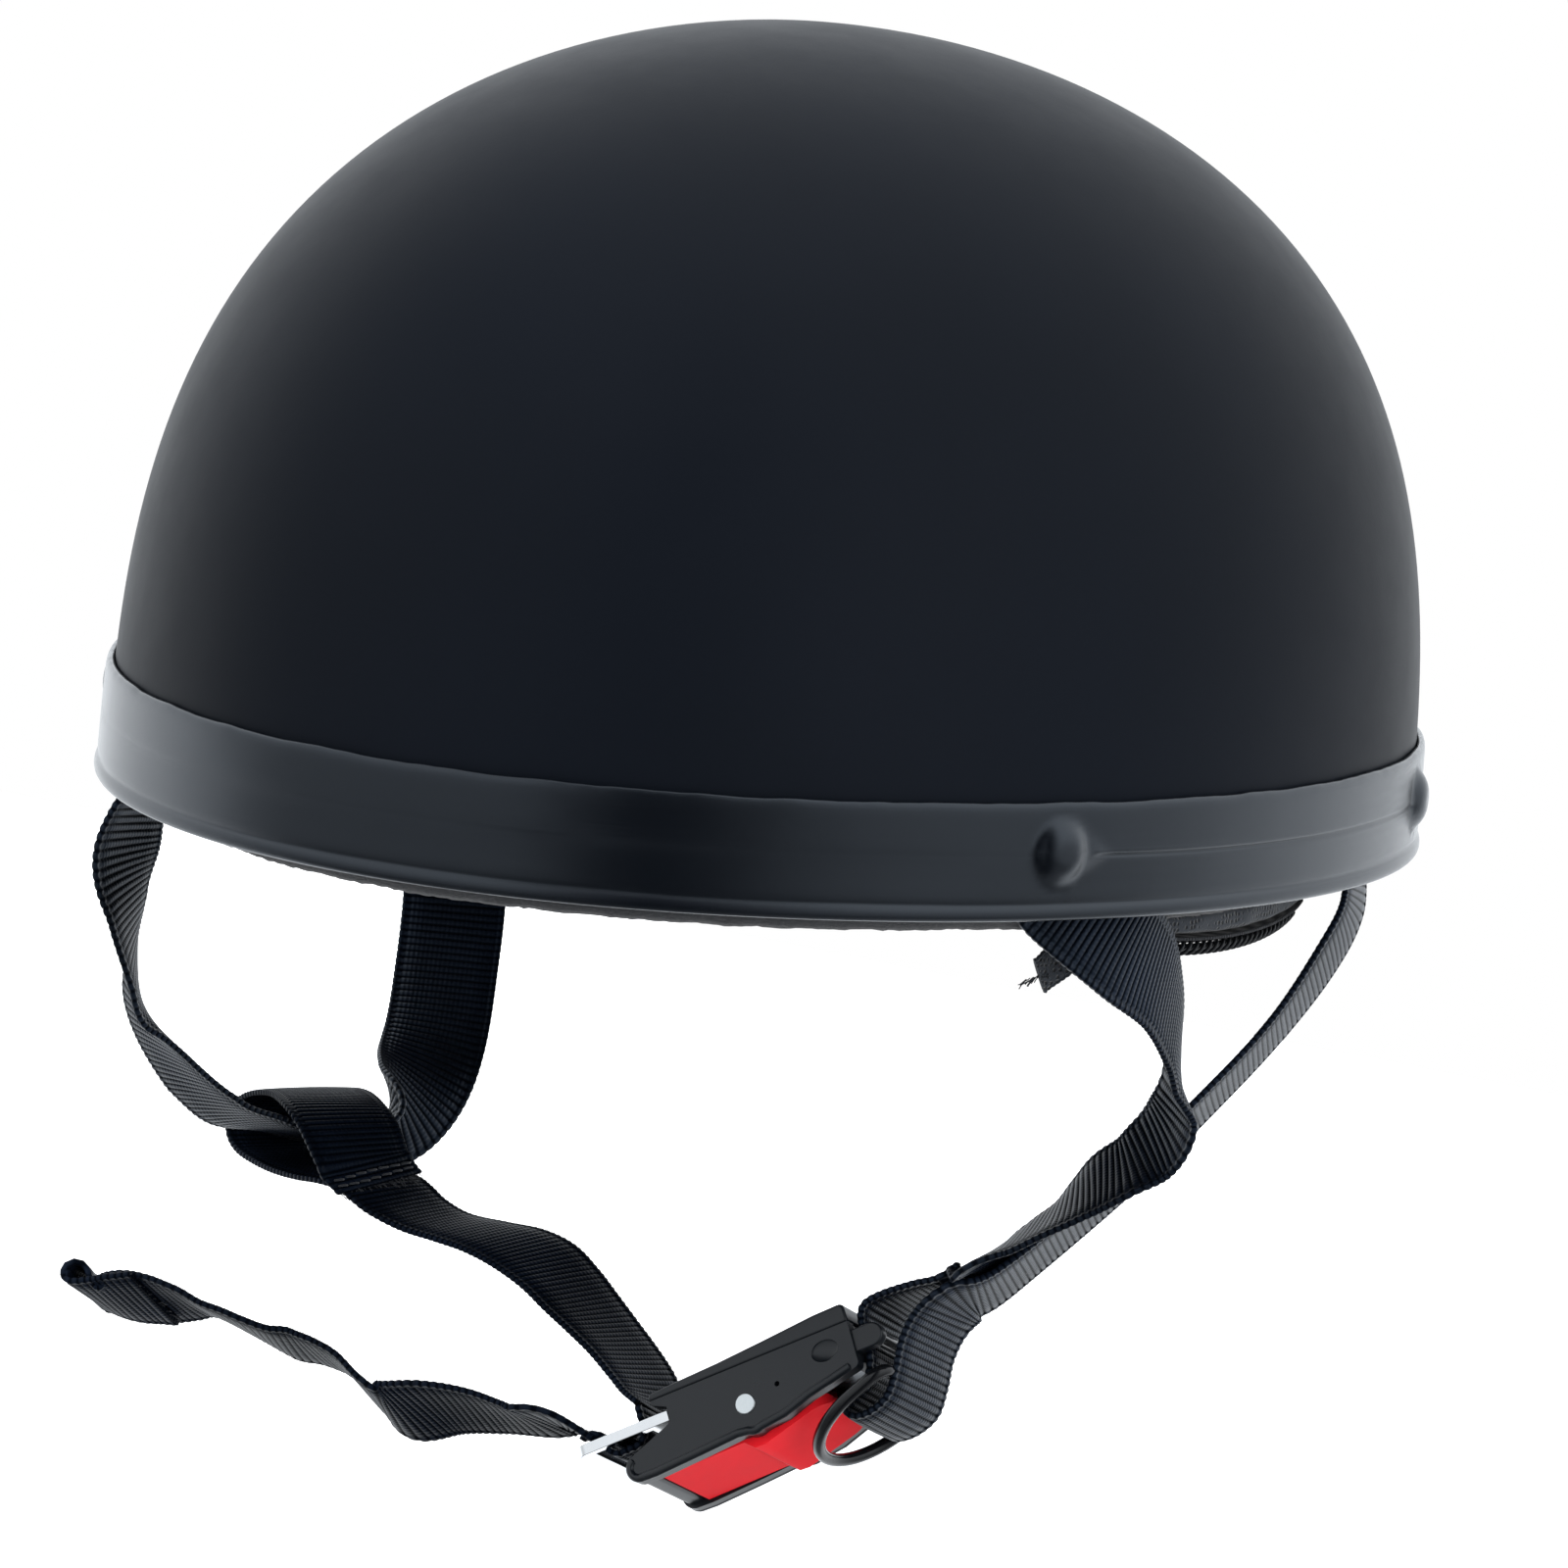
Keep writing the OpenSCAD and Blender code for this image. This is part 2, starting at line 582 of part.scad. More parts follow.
// Tail: down through one slot, up through the other, and out to its sewn loop end
thread_route = [[slot_a, handover], [slot_a, handover - 2], [slot_a, tongue_top + 0.6],
    [slot_a - 0.3, tongue_low + 0.2], [slot_a - 1.7, tongue_low - 1.1],
    [(slot_a + slot_b) / 2, tongue_low - 1.2], [slot_b + 1.7, tongue_low - 1.1],
    [slot_b + 0.2, tongue_low + 0.3], [slot_b - 0.1, tongue_top], [slot_b - 0.8, tongue_top + 1.6],
    [slot_b - 3.6, tongue_top + 2.8]];
tail_free_route = [
    [[-8, -33, -114], [-0.1, 0.9, -0.4]], [[-15, -33, -115], [-0.05, 0.9, -0.45]],
    [[-24, -34, -115], [0, 0.85, -0.55]], [[-33, -35, -116], [0.05, 0.8, -0.6]],
    [[-42, -35, -118.5], [0.05, 0.75, -0.65]], [[-47, -35, -117], [-0.15, 0.85, -0.55]],
    [[-53, -34, -114], [-0.15, 0.9, -0.4]], [[-58, -34, -112], [-0.2, 0.9, -0.35]],
    [[-65, -35, -111], [-0.25, 0.9, -0.4]], [[-73, -37, -109], [-0.25, 0.9, -0.35]],
    [[-80, -38, -107], [-0.2, 0.9, -0.35]], [[-87, -39, -106], [-0.1, 0.85, -0.45]],
    [[-94, -40, -107], [0, 0.8, -0.55]], [[-102, -41, -109], [-0.05, 0.85, -0.55]],
    [[-107, -41, -108.5], [-0.15, 0.9, -0.45]], [[-109.5, -41, -106.5], [-0.2, 0.9, -0.4]],
    [[-109, -40, -104], [-0.15, 0.9, -0.45]], [[-102, -39, -105.6], [-0.05, 0.85, -0.55]],
    [[-94, -38.8, -105.2], [0, 0.8, -0.55]], [[-88, -38, -104.3], [-0.1, 0.85, -0.45]]];

module tail_strap() {
    color([0.09, 0.095, 0.11])
        strip(concat(buckle_route(thread_route), tail_free_route));
}

// Buckle body
deck_low = tongue_top + 0.3;
body_top = 7.4;
guide_top = tongue_low - 0.4;
back_wall_low = 0.2;

// Outline of a cheek: nose, foot, back end, parting line, upper prong and notch
cheek_outline = concat(
    arc([-22.9, -3.6], 2.6, 115, 262, 7),
    [[-20, -6.3], [-10.5, -5.8], [-3, -5.3]],
    arc([0.6, -2.9], 3.1, 236, 300, 4),
    [[6.8, -5.1], [12.2, -3.4], [17.5, -2.3], [buckle_back - 1.4, -1.6]],
    arc([buckle_back - 1.1, -0.4], 1.1, 280, 360, 3),
    [[buckle_back, body_top], [-17.6, body_top]],
    arc([-17, 7], 0.7, 150, 250, 3),
    [[-14.9, deck_low], [tongue_shoulder + 0.5, guide_top - 0.2], [tongue_shoulder - 0.6, 1.8]]);

module side_plate(from, thick) {
    translate([0, from + thick, 0])
        rotate([90, 0, 0])
            linear_extrude(thick)
                children();
}

bar_at = [26.3, 3.6];
ring_at = [26.9, -3.4];
ear_in = web_width / 2 + 0.3;
ear_wall = 2;

module buckle_body() {
    // Cross pieces run half way into both cheeks
    cross = 2 * cheek_in + cheek_wall;
    color([0.11, 0.115, 0.125])
        in_buckle()
            difference() {
                union() {
                    for (from = [-buckle_width / 2, cheek_in])
                        side_plate(from, cheek_wall)
                            polygon(cheek_outline);
                    // Deck under the cover, back wall, tongue guide and front bar
                    translate([-13.5, -cross / 2, deck_low])
                        cube([buckle_back + 13, cross, body_top - deck_low - 0.01]);
                    translate([buckle_back - 2.6, -cross / 2, back_wall_low])
                        cube([2.55, cross, body_top - back_wall_low - 0.5]);
                    translate([-14, -cross / 2, guide_top - 1.4])
                        cube([7, cross, 1.4]);
                    translate([-24.6, -cross / 2, -5.3])
                        cube([3.4, cross, 2.8]);
                    // Ears that hold the strap bar
                    for (from = [-ear_in - ear_wall, ear_in])
                        side_plate(from, ear_wall)
                            union() {
                                translate([buckle_back - 1, bar_at.y - 2.2])
                                    square([bar_at.x - buckle_back + 1, 4.4]);
                                translate(bar_at)
                                    circle(r = 2.2, $fn = 32);
                            }
                }
                rotate([90, 0, 0])
                    cylinder(r = pin_r + 0.02, h = buckle_width + 2, center = true, $fn = 48);
                translate([bar_at.x, 0, bar_at.y])
                    rotate([90, 0, 0])
                        cylinder(r = strap_bar_r + 0.02, h = 2 * (ear_in + ear_wall) + 2,
                                 center = true, $fn = 48);
                translate([6.8, -buckle_width / 2 - 1, 1.3])
                    rotate([-90, 0, 0])
                        cylinder(r = 0.5, h = cheek_wall + 2, $fn = 24);
            }
}

cover_outline = concat(
    [[-17.9, body_top]],
    arc([-17.2, 8.1], 0.8, 190, 95, 3),
    [[-11.6, 9.2], [-3.6, 9.5], [5.2, 10.1], [16.6, 11]],
    arc([buckle_back - 1.1, 10], 1.1, 95, 0, 4),
    [[buckle_back, body_top]]);

module buckle_cover() {
    color([0.12, 0.125, 0.135])
        in_buckle()
            side_plate(-buckle_width / 2, buckle_width)
                polygon(cover_outline);
}

module buckle_pin() {
    color([0.85, 0.86, 0.86])
        in_buckle()
            rotate([90, 0, 0])
                cylinder(r = pin_r, h = buckle_width + 0.6, center = true, $fn = 48);
}

module strap_bar() {
    color([0.1, 0.1, 0.11])
        in_buckle()
            translate([bar_at.x, 0, bar_at.y])
                rotate([90, 0, 0])
                    cylinder(r = strap_bar_r, h = 2 * (ear_in + ear_wall), center = true, $fn = 48);
}

// Spring steel catch: a leaf from the back wall, with a tooth in the tongue's hole
leaf_thick = 0.6;
leaf_low = 1.6;
leaf_half = 3.2;

module catch_spring() {
    back = buckle_back - 2.6;
    tooth = latch_from + 0.3;
    color([0.6, 0.6, 0.62])
        in_buckle()
            side_plate(-leaf_half, 2 * leaf_half)
                polygon([[back, leaf_low], [back, leaf_low + leaf_thick],
                         [tooth + 2.2, leaf_low + leaf_thick], [tooth + 1.6, tongue_top - 0.4],
                         [tooth, tongue_top - 0.4], [tooth, leaf_low]]);
}

// Release lever: front plate, raised grip, side webs, hub on the pin, and a fork on the leaf
lever_hub = tongue_low - 0.3;
lever_front = -20.2;
fork_at = 10;
plate_outline = concat(
    [[lever_front, -5.8], [-3.4, -5.5], [-1.6, -7.2], [0.4, -7.3]],
    arc([grip_length - 1.1, -2.9], 1.1, 280, 430, 5),
    [[grip_length - 4, -2.6], [1, -7.1 + lever_plate], [-3, -5.5 + lever_plate],
     [lever_front, -5.8 + lever_plate]]);
web_outline = [[-9, -5], [-lever_hub * 0.9, 0.6], [0, lever_hub * 0.8], [lever_hub * 0.9, 0.6],
               [9.5, -3.6], [1, -6]];

module release_lever() {
    half = lever_width / 2;
    round_r = 4;
    color([0.8, 0.08, 0.11])
        in_buckle()
            difference() {
                union() {
                    intersection() {
                        side_plate(-half, lever_width)
                            polygon(plate_outline);
                        translate([0, 0, -10])
                            linear_extrude(12)
                                union() {
                                    translate([lever_front - 1, -half])
                                        square([grip_length - lever_front + 1 - round_r,
                                                lever_width]);
                                    translate([0, round_r - half])
                                        square([grip_length + 1, lever_width - 2 * round_r]);
                                    for (side = [-1, 1])
                                        translate([grip_length - round_r,
                                                   side * (half - round_r)])
                                            circle(r = round_r, $fn = 32);
                                }
                    }
                    for (from = [-half, half - 2.4])
                        side_plate(from, 2.4)
                            polygon(web_outline);
                    rotate([90, 0, 0])
                        cylinder(r = lever_hub, h = lever_width, center = true, $fn = 48);
                    // Fork: two posts and a bar over the leaf spring
                    for (from = [-leaf_half - 1.8, leaf_half + 0.4])
                        translate([fork_at - 0.8, from, -4.5])
                            cube([1.6, 1.4, 5 + leaf_low + leaf_thick + 0.1]);
                    translate([fork_at - 0.8, -leaf_half - 1.8, leaf_low + leaf_thick + 0.1])
                        cube([1.6, 2 * leaf_half + 3.6, 0.5]);
                }
                rotate([90, 0, 0])
                    cylinder(r = pin_r + pin_play, h = lever_width + 2, center = true, $fn = 48);
            }
}

// D ring: straight bar, two corners, two legs and a half round
corner_r = 3;

module ring_arm(length) {
    cylinder(r = ring_wire, h = length, $fn = 24);
}

module d_ring() {
    leg = ring_depth - ring_half;
    color([0.08, 0.08, 0.09])
        in_buckle()
            translate([ring_at.x, 0, ring_at.y])
                rotate([0, -ring_rest, 0])
                    union() {
                        translate([0, corner_r - ring_half, 0])
                            rotate([-90, 0, 0])
                                ring_arm(2 * (ring_half - corner_r));
                        for (side = [-1, 1]) {
                            translate([-corner_r, side * (ring_half - corner_r), 0])
                                rotate([0, 0, side > 0 ? 0 : -90])
                                    rotate_extrude(angle = 90, $fn = 48)
                                        translate([corner_r, 0])
                                            circle(r = ring_wire, $fn = 24);
                            translate([-corner_r, side * ring_half, 0])
                                rotate([0, -90, 0])
                                    ring_arm(leg - corner_r);
                        }
                        translate([-leg, 0, 0])
                            rotate([0, 0, 90])
                                rotate_extrude(angle = 180, $fn = 64)
                                    translate([ring_half, 0])
                                        circle(r = ring_wire, $fn = 24);
                    }
}

shell();
edge_trim();
foam_liner();
comfort_liner();
edge_felt();
ear_pad();
zip_tape();
zip_coil();
rivets();
rivet_washers();
left_strap();
right_strap();
strap_tab();
chin_strap();
tail_strap();
tongue_plate();
buckle_body();
buckle_cover();
buckle_pin();
catch_spring();
release_lever();
strap_bar();
d_ring();
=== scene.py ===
# Open-face half helmet with a webbing chin strap and a quick-release buckle.
# Metres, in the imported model's frame: +Z up, -Y the wearer's face, +X the wearer's left.
# Lengths named in mm are turned to metres where a mesh gets its places.
import math

import bpy
import numpy as np
from mathutils import Matrix


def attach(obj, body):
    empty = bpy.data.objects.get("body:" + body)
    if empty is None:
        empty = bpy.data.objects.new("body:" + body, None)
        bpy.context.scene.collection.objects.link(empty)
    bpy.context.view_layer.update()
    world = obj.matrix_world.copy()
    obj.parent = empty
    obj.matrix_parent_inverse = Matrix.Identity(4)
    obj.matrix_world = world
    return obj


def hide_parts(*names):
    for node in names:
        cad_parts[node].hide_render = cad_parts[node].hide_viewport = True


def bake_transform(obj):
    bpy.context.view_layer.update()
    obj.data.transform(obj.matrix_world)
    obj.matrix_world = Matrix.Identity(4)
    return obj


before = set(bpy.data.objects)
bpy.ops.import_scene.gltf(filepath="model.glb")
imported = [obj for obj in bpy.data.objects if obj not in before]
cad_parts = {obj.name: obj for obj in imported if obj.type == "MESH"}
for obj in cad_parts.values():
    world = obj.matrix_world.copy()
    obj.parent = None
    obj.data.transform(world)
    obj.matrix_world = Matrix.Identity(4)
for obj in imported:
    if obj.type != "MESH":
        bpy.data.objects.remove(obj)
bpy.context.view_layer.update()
MM = 0.001

# Camera at the photograph's place, with the frame's middle as its axis
CAMERA_AT = (0.7019, -1.2023, 0.2236)
CAMERA_RIGHT = (0.8554, 0.5102, 0.0895)
CAMERA_UP = (-0.1564, 0.0896, 0.9836)
CAMERA_BACK = (0.4938, -0.8554, 0.1564)

camera_data = bpy.data.cameras.new("camera")
camera_data.lens = 176.6
camera_data.sensor_width = 36.0
camera_data.clip_end = 20.0
camera = bpy.data.objects.new("camera", camera_data)
bpy.context.scene.collection.objects.link(camera)
turn = Matrix([[CAMERA_RIGHT[i], CAMERA_UP[i], CAMERA_BACK[i]] for i in range(3)]).to_4x4()
camera.matrix_world = Matrix.Translation(CAMERA_AT) @ turn
bpy.context.scene.camera = camera


# Materials

def linear(hex_colour):
    """An sRGB hex colour as linear RGBA."""
    parts = [int(hex_colour[i:i + 2], 16) / 255 for i in (1, 3, 5)]
    return [p / 12.92 if p <= 0.04045 else ((p + 0.055) / 1.055) ** 2.4 for p in parts] + [1.0]


def add(tree, kind, settings=None, links=None):
    """Adds a node, with settings on itself or its inputs, and links from other sockets."""
    node = tree.nodes.new("ShaderNode" + kind)
    for key, value in (settings or {}).items():
        if isinstance(key, str) and hasattr(node, key):
            setattr(node, key, value)
        else:
            node.inputs[key].default_value = value
    for key, socket in (links or {}).items():
        tree.links.new(socket, node.inputs[key])
    return node


def finish(name, settings):
    """A new material with one Principled shader. Returns the material, its tree and the shader."""
    made = bpy.data.materials.new(name)
    made.use_nodes = True
    made.node_tree.nodes.clear()
    shader = add(made.node_tree, "BsdfPrincipled", settings)
    add(made.node_tree, "OutputMaterial", None, {"Surface": shader.outputs["BSDF"]})
    return made, made.node_tree, shader


def two_tone(tree, shader, factor, dark, pale):
    """Base colour between two hex colours, by a factor socket."""
    mix = add(tree, "Mix", {"data_type": "RGBA", 6: linear(dark), 7: linear(pale)}, {0: factor})
    tree.links.new(mix.outputs[2], shader.inputs["Base Color"])


def uneven(tree, shader, factor, low, high):
    """Roughness between two values, by a factor socket."""
    spread = add(tree, "MapRange", {"To Min": low, "To Max": high}, {"Value": factor})
    tree.links.new(spread.outputs["Result"], shader.inputs["Roughness"])


# Matte paint sprayed on a moulded ABS shell: a dull black with a faint orange peel of
# about 0.6 mm, a few dust specks, and a soft sheen only where light grazes it
def matte_black_sprayed_abs():
    made, tree, shader = finish("matte_black_sprayed_abs", {"IOR": 1.5, "Specular IOR Level": 0.05})
    place = add(tree, "TexCoord").outputs["Object"]
    cloud = add(tree, "TexNoise", {"Scale": 14.0, "Detail": 3.0}, {"Vector": place})
    two_tone(tree, shader, cloud.outputs["Fac"], "#0b0e13", "#0f131a")
    haze = add(tree, "TexNoise", {"Scale": 60.0, "Detail": 6.0, "Roughness": 0.7}, {"Vector": place})
    uneven(tree, shader, haze.outputs["Fac"], 0.36, 0.48)
    peel = add(tree, "TexNoise", {"Scale": 1500.0, "Detail": 2.0}, {"Vector": place})
    specks = add(tree, "TexVoronoi", {"Scale": 62.0}, {"Vector": place})
    dust = add(tree, "MapRange", {"From Min": 0.0, "From Max": 0.035, "To Min": 1.0, "To Max": 0.0},
               {"Value": specks.outputs["Distance"]})
    height = add(tree, "Math", {"operation": "MULTIPLY_ADD", 1: 2.0},
                 {0: dust.outputs["Result"], 2: peel.outputs["Fac"]})
    bump = add(tree, "Bump", {"Strength": 0.10, "Distance": 0.00008}, {"Height": height.outputs[0]})
    tree.links.new(bump.outputs["Normal"], shader.inputs["Normal"])
    return made


# Extruded PVC edging, stretched round the shell: satin, with fine lines along its run
# and a slow cloudiness of its black
def satin_extruded_vinyl():
    made, tree, shader = finish("satin_extruded_vinyl", {
        "IOR": 1.52, "Specular IOR Level": 0.62, "Specular Tint": (0.80, 0.89, 1.0, 1.0)})
    place = add(tree, "TexCoord")
    cloud = add(tree, "TexNoise", {"Scale": 22.0, "Detail": 4.0}, {"Vector": place.outputs["Object"]})
    two_tone(tree, shader, cloud.outputs["Fac"], "#06080c", "#0a0d12")
    run = add(tree, "Mapping", {"Scale": (0.9, 260.0, 1.0)}, {"Vector": place.outputs["UV"]})
    lines = add(tree, "TexNoise", {"Scale": 6.0, "Detail": 3.0}, {"Vector": run.outputs["Vector"]})
    uneven(tree, shader, lines.outputs["Fac"], 0.14, 0.23)
    grain = add(tree, "TexNoise", {"Scale": 900.0, "Detail": 3.0}, {"Vector": place.outputs["Object"]})
    height = add(tree, "Math", {"operation": "MULTIPLY_ADD", 1: 0.6},
                 {0: grain.outputs["Fac"], 2: lines.outputs["Fac"]})
    bump = add(tree, "Bump", {"Strength": 0.16, "Distance": 0.0001}, {"Height": height.outputs[0]})
    tree.links.new(bump.outputs["Normal"], shader.inputs["Normal"])
    return made


# Heavy nylon grosgrain: the ribs are in the mesh. Here their grooves get painted shade, a darker colour, and
# are dull, and the warp threads run over them, 0.9 mm apart. U is mm across, V counts the ribs along.
# The chin strap's webbing is of a duller lot than the legs'.
def ribbed_nylon_webbing(name, shine):
    made, tree, shader = finish(name, {
        "IOR": 1.5, "Specular IOR Level": shine, "Specular Tint": (0.62, 0.78, 1.0, 1.0),
        "Sheen Weight": 0.05 * shine, "Sheen Roughness": 0.45})
    place = add(tree, "TexCoord")
    threads = add(tree, "TexWave", {"Scale": 0.35, "Distortion": 0.6, "Detail": 2.0, "Detail Scale": 3.0},
                  {"Vector": place.outputs["UV"]})
    ply = add(tree, "TexNoise", {"Scale": 2.6, "Detail": 5.0, "Roughness": 0.65},
              {"Vector": place.outputs["UV"]})
    fade = add(tree, "TexNoise", {"Scale": 40.0, "Detail": 3.0}, {"Vector": place.outputs["Object"]})
    tone = add(tree, "Math", {"operation": "MULTIPLY"},
               {0: ply.outputs["Fac"], 1: fade.outputs["Fac"]})
    spread = add(tree, "MapRange", {"From Min": 0.12, "From Max": 0.4}, {"Value": tone.outputs[0]})
    ribs = add(tree, "SeparateXYZ", None, {"Vector": place.outputs["UV"]})
    phase = add(tree, "Math", {"operation": "MULTIPLY", 1: math.pi}, {0: ribs.outputs["Y"]})
    wave = add(tree, "Math", {"operation": "SINE"}, {0: phase.outputs[0]})
    crest = add(tree, "Math", {"operation": "ABSOLUTE"}, {0: wave.outputs[0]})
    # Painted shade in the rib grooves: 1 on a crest, 0.12 at a groove's floor; it darkens the base colour and
    # lowers the gloss
    painted_groove_shade = add(tree, "MapRange", {"interpolation_type": "SMOOTHSTEP", "From Min": 0.25, "From Max": 0.9,
                                    "To Min": 0.12, "To Max": 1.0}, {"Value": crest.outputs[0]})
    groove_shaded_tone = add(tree, "Math", {"operation": "MULTIPLY"},
               {0: spread.outputs["Result"], 1: painted_groove_shade.outputs["Result"]})
    # Base colour with the painted groove shade
    two_tone(tree, shader, groove_shaded_tone.outputs[0], "#020408", "#121926")
    gloss = add(tree, "Math", {"operation": "MULTIPLY", 1: shine}, {0: painted_groove_shade.outputs["Result"]})
    tree.links.new(gloss.outputs[0], shader.inputs["Specular IOR Level"])
    uneven(tree, shader, ply.outputs["Fac"], 0.30, 0.44)
    height = add(tree, "Math", {"operation": "MULTIPLY_ADD", 1: 0.8},
                 {0: threads.outputs["Fac"], 2: ply.outputs["Fac"]})
    bump = add(tree, "Bump", {"Strength": 0.5, "Distance": 0.00012}, {"Height": height.outputs[0]})
    tree.links.new(bump.outputs["Normal"], shader.inputs["Normal"])
    return made


# Needle felt: matted fibres that catch light at the edge
def black_needle_felt():
    made, tree, shader = finish("black_needle_felt", {
        "Roughness": 0.95, "Specular IOR Level": 0.15, "Sheen Weight": 0.25, "Sheen Roughness": 0.6})
    place = add(tree, "TexCoord").outputs["Object"]
    fibre = add(tree, "TexNoise", {"Scale": 1400.0, "Detail": 5.0, "Roughness": 0.75, "Distortion": 1.5},
                {"Vector": place})
    two_tone(tree, shader, fibre.outputs["Fac"], "#0c0d10", "#23262b")
    bump = add(tree, "Bump", {"Strength": 0.8, "Distance": 0.0004}, {"Height": fibre.outputs["Fac"]})
    tree.links.new(bump.outputs["Normal"], shader.inputs["Normal"])
    return made


# Knitted polyester spacer mesh: round openings 1.1 mm apart in a grey knit over dark foam
def knitted_spacer_mesh():
    made, tree, shader = finish("knitted_spacer_mesh", {
        "Specular IOR Level": 0.3, "Sheen Weight": 0.2, "Sheen Roughness": 0.5})
    place = add(tree, "TexCoord").outputs["Object"]
    eyes = add(tree, "TexVoronoi", {"Scale": 900.0, "Randomness": 0.35}, {"Vector": place})
    knit = add(tree, "TexNoise", {"Scale": 2600.0, "Detail": 4.0}, {"Vector": place})
    open_eye = add(tree, "MapRange", {"From Min": 0.22, "From Max": 0.42},
                   {"Value": eyes.outputs["Distance"]})
    two_tone(tree, shader, open_eye.outputs["Result"], "#090b0e", "#252a31")
    uneven(tree, shader, knit.outputs["Fac"], 0.65, 0.9)
    height = add(tree, "Math", {"operation": "MULTIPLY_ADD", 1: 0.35},
                 {0: knit.outputs["Fac"], 2: open_eye.outputs["Result"]})
    bump = add(tree, "Bump", {"Strength": 0.8, "Distance": 0.0003}, {"Height": height.outputs[0]})
    tree.links.new(bump.outputs["Normal"], shader.inputs["Normal"])
    return made


# Brushed nylon liner cloth: a short nap over knit rows 1.8 mm apart
def brushed_liner_cloth():
    made, tree, shader = finish("brushed_liner_cloth", {
        "Specular IOR Level": 0.2, "Sheen Weight": 0.35, "Sheen Roughness": 0.55})
    place = add(tree, "TexCoord").outputs["Object"]
    rows = add(tree, "TexWave", {"bands_direction": "Z", "Scale": 175.0, "Distortion": 1.2, "Detail": 2.0},
               {"Vector": place})
    nap = add(tree, "TexNoise", {"Scale": 1800.0, "Detail": 5.0, "Roughness": 0.7}, {"Vector": place})
    patch = add(tree, "TexNoise", {"Scale": 35.0, "Detail": 3.0}, {"Vector": place})
    two_tone(tree, shader, patch.outputs["Fac"], "#111317", "#1f2228")
    uneven(tree, shader, nap.outputs["Fac"], 0.75, 0.98)
    height = add(tree, "Math", {"operation": "MULTIPLY_ADD", 1: 0.5},
                 {0: rows.outputs["Fac"], 2: nap.outputs["Fac"]})
    bump = add(tree, "Bump", {"Strength": 0.5, "Distance": 0.0003}, {"Height": height.outputs[0]})
    tree.links.new(bump.outputs["Normal"], shader.inputs["Normal"])
    return made


# Expanded bead foam, moulded: beads about 4 mm across with a dull skin
def moulded_bead_foam():
    made, tree, shader = finish("moulded_bead_foam", {"Specular IOR Level": 0.3})
    place = add(tree, "TexCoord").outputs["Object"]
    beads = add(tree, "TexVoronoi", {"Scale": 250.0}, {"Vector": place})
    two_tone(tree, shader, beads.outputs["Distance"], "#1f2125", "#0f1013")
    uneven(tree, shader, beads.outputs["Distance"], 0.6, 0.85)
    bump = add(tree, "Bump", {"Strength": 0.6, "Distance": 0.0005, "invert": True},
               {"Height": beads.outputs["Distance"]})
    tree.links.new(bump.outputs["Normal"], shader.inputs["Normal"])
    return made


# Woven polyester zip tape with ribs 0.8 mm apart
def woven_zip_tape():
    made, tree, shader = finish("woven_zip_tape", {"Specular IOR Level": 0.3, "Sheen Weight": 0.1})
    place = add(tree, "TexCoord").outputs["Object"]
    ribs = add(tree, "TexWave", {"bands_direction": "Y", "Scale": 400.0, "Distortion": 0.4},
               {"Vector": place})
    nap = add(tree, "TexNoise", {"Scale": 2400.0, "Detail": 4.0}, {"Vector": place})
    two_tone(tree, shader, nap.outputs["Fac"], "#0d0e11", "#1d2026")
    uneven(tree, shader, nap.outputs["Fac"], 0.6, 0.85)
    bump = add(tree, "Bump", {"Strength": 0.5, "Distance": 0.0002}, {"Height": ribs.outputs["Fac"]})
    tree.links.new(bump.outputs["Normal"], shader.inputs["Normal"])
    return made


# Drawn nylon filament of a coil zip: glassy, with faint draw lines
def drawn_nylon_filament():
    made, tree, shader = finish("drawn_nylon_filament", {"IOR": 1.53, "Specular IOR Level": 0.35})
    place = add(tree, "TexCoord").outputs["Object"]
    draw = add(tree, "TexNoise", {"Scale": 1500.0, "Detail": 2.0}, {"Vector": place})
    two_tone(tree, shader, draw.outputs["Fac"], "#08090b", "#121418")
    uneven(tree, shader, draw.outputs["Fac"], 0.30, 0.46)
    bump = add(tree, "Bump", {"Strength": 0.15, "Distance": 0.00005}, {"Height": draw.outputs["Fac"]})
    tree.links.new(bump.outputs["Normal"], shader.inputs["Normal"])
    return made


# Injection-moulded glass-filled nylon: satin, with a spark-eroded grain of 0.3 mm,
# glossier where hands have rubbed it
def moulded_black_nylon():
    made, tree, shader = finish("moulded_black_nylon", {"IOR": 1.53, "Specular IOR Level": 0.45})
    place = add(tree, "TexCoord").outputs["Object"]
    rub = add(tree, "TexNoise", {"Scale": 120.0, "Detail": 5.0, "Roughness": 0.6}, {"Vector": place})
    two_tone(tree, shader, rub.outputs["Fac"], "#0c0f13", "#12161b")
    uneven(tree, shader, rub.outputs["Fac"], 0.22, 0.38)
    grain = add(tree, "TexNoise", {"Scale": 3200.0, "Detail": 2.0}, {"Vector": place})
    bump = add(tree, "Bump", {"Strength": 0.12, "Distance": 0.00006}, {"Height": grain.outputs["Fac"]})
    tree.links.new(bump.outputs["Normal"], shader.inputs["Normal"])
    return made


# Injection-moulded red nylon: satin, slightly cloudy where the melt flowed
def moulded_red_nylon():
    made, tree, shader = finish("moulded_red_nylon", {
        "IOR": 1.53, "Specular IOR Level": 0.02, "Subsurface Weight": 0.04, "Subsurface Scale": 0.001})
    place = add(tree, "TexCoord").outputs["Object"]
    flow = add(tree, "TexNoise", {"Scale": 160.0, "Detail": 4.0, "Distortion": 0.8}, {"Vector": place})
    two_tone(tree, shader, flow.outputs["Fac"], "#de1923", "#e92730")
    uneven(tree, shader, flow.outputs["Fac"], 0.30, 0.46)
    grain = add(tree, "TexNoise", {"Scale": 2600.0, "Detail": 3.0}, {"Vector": place})
    bump = add(tree, "Bump", {"Strength": 0.25, "Distance": 0.00008}, {"Height": grain.outputs["Fac"]})
    tree.links.new(bump.outputs["Normal"], shader.inputs["Normal"])
    return made


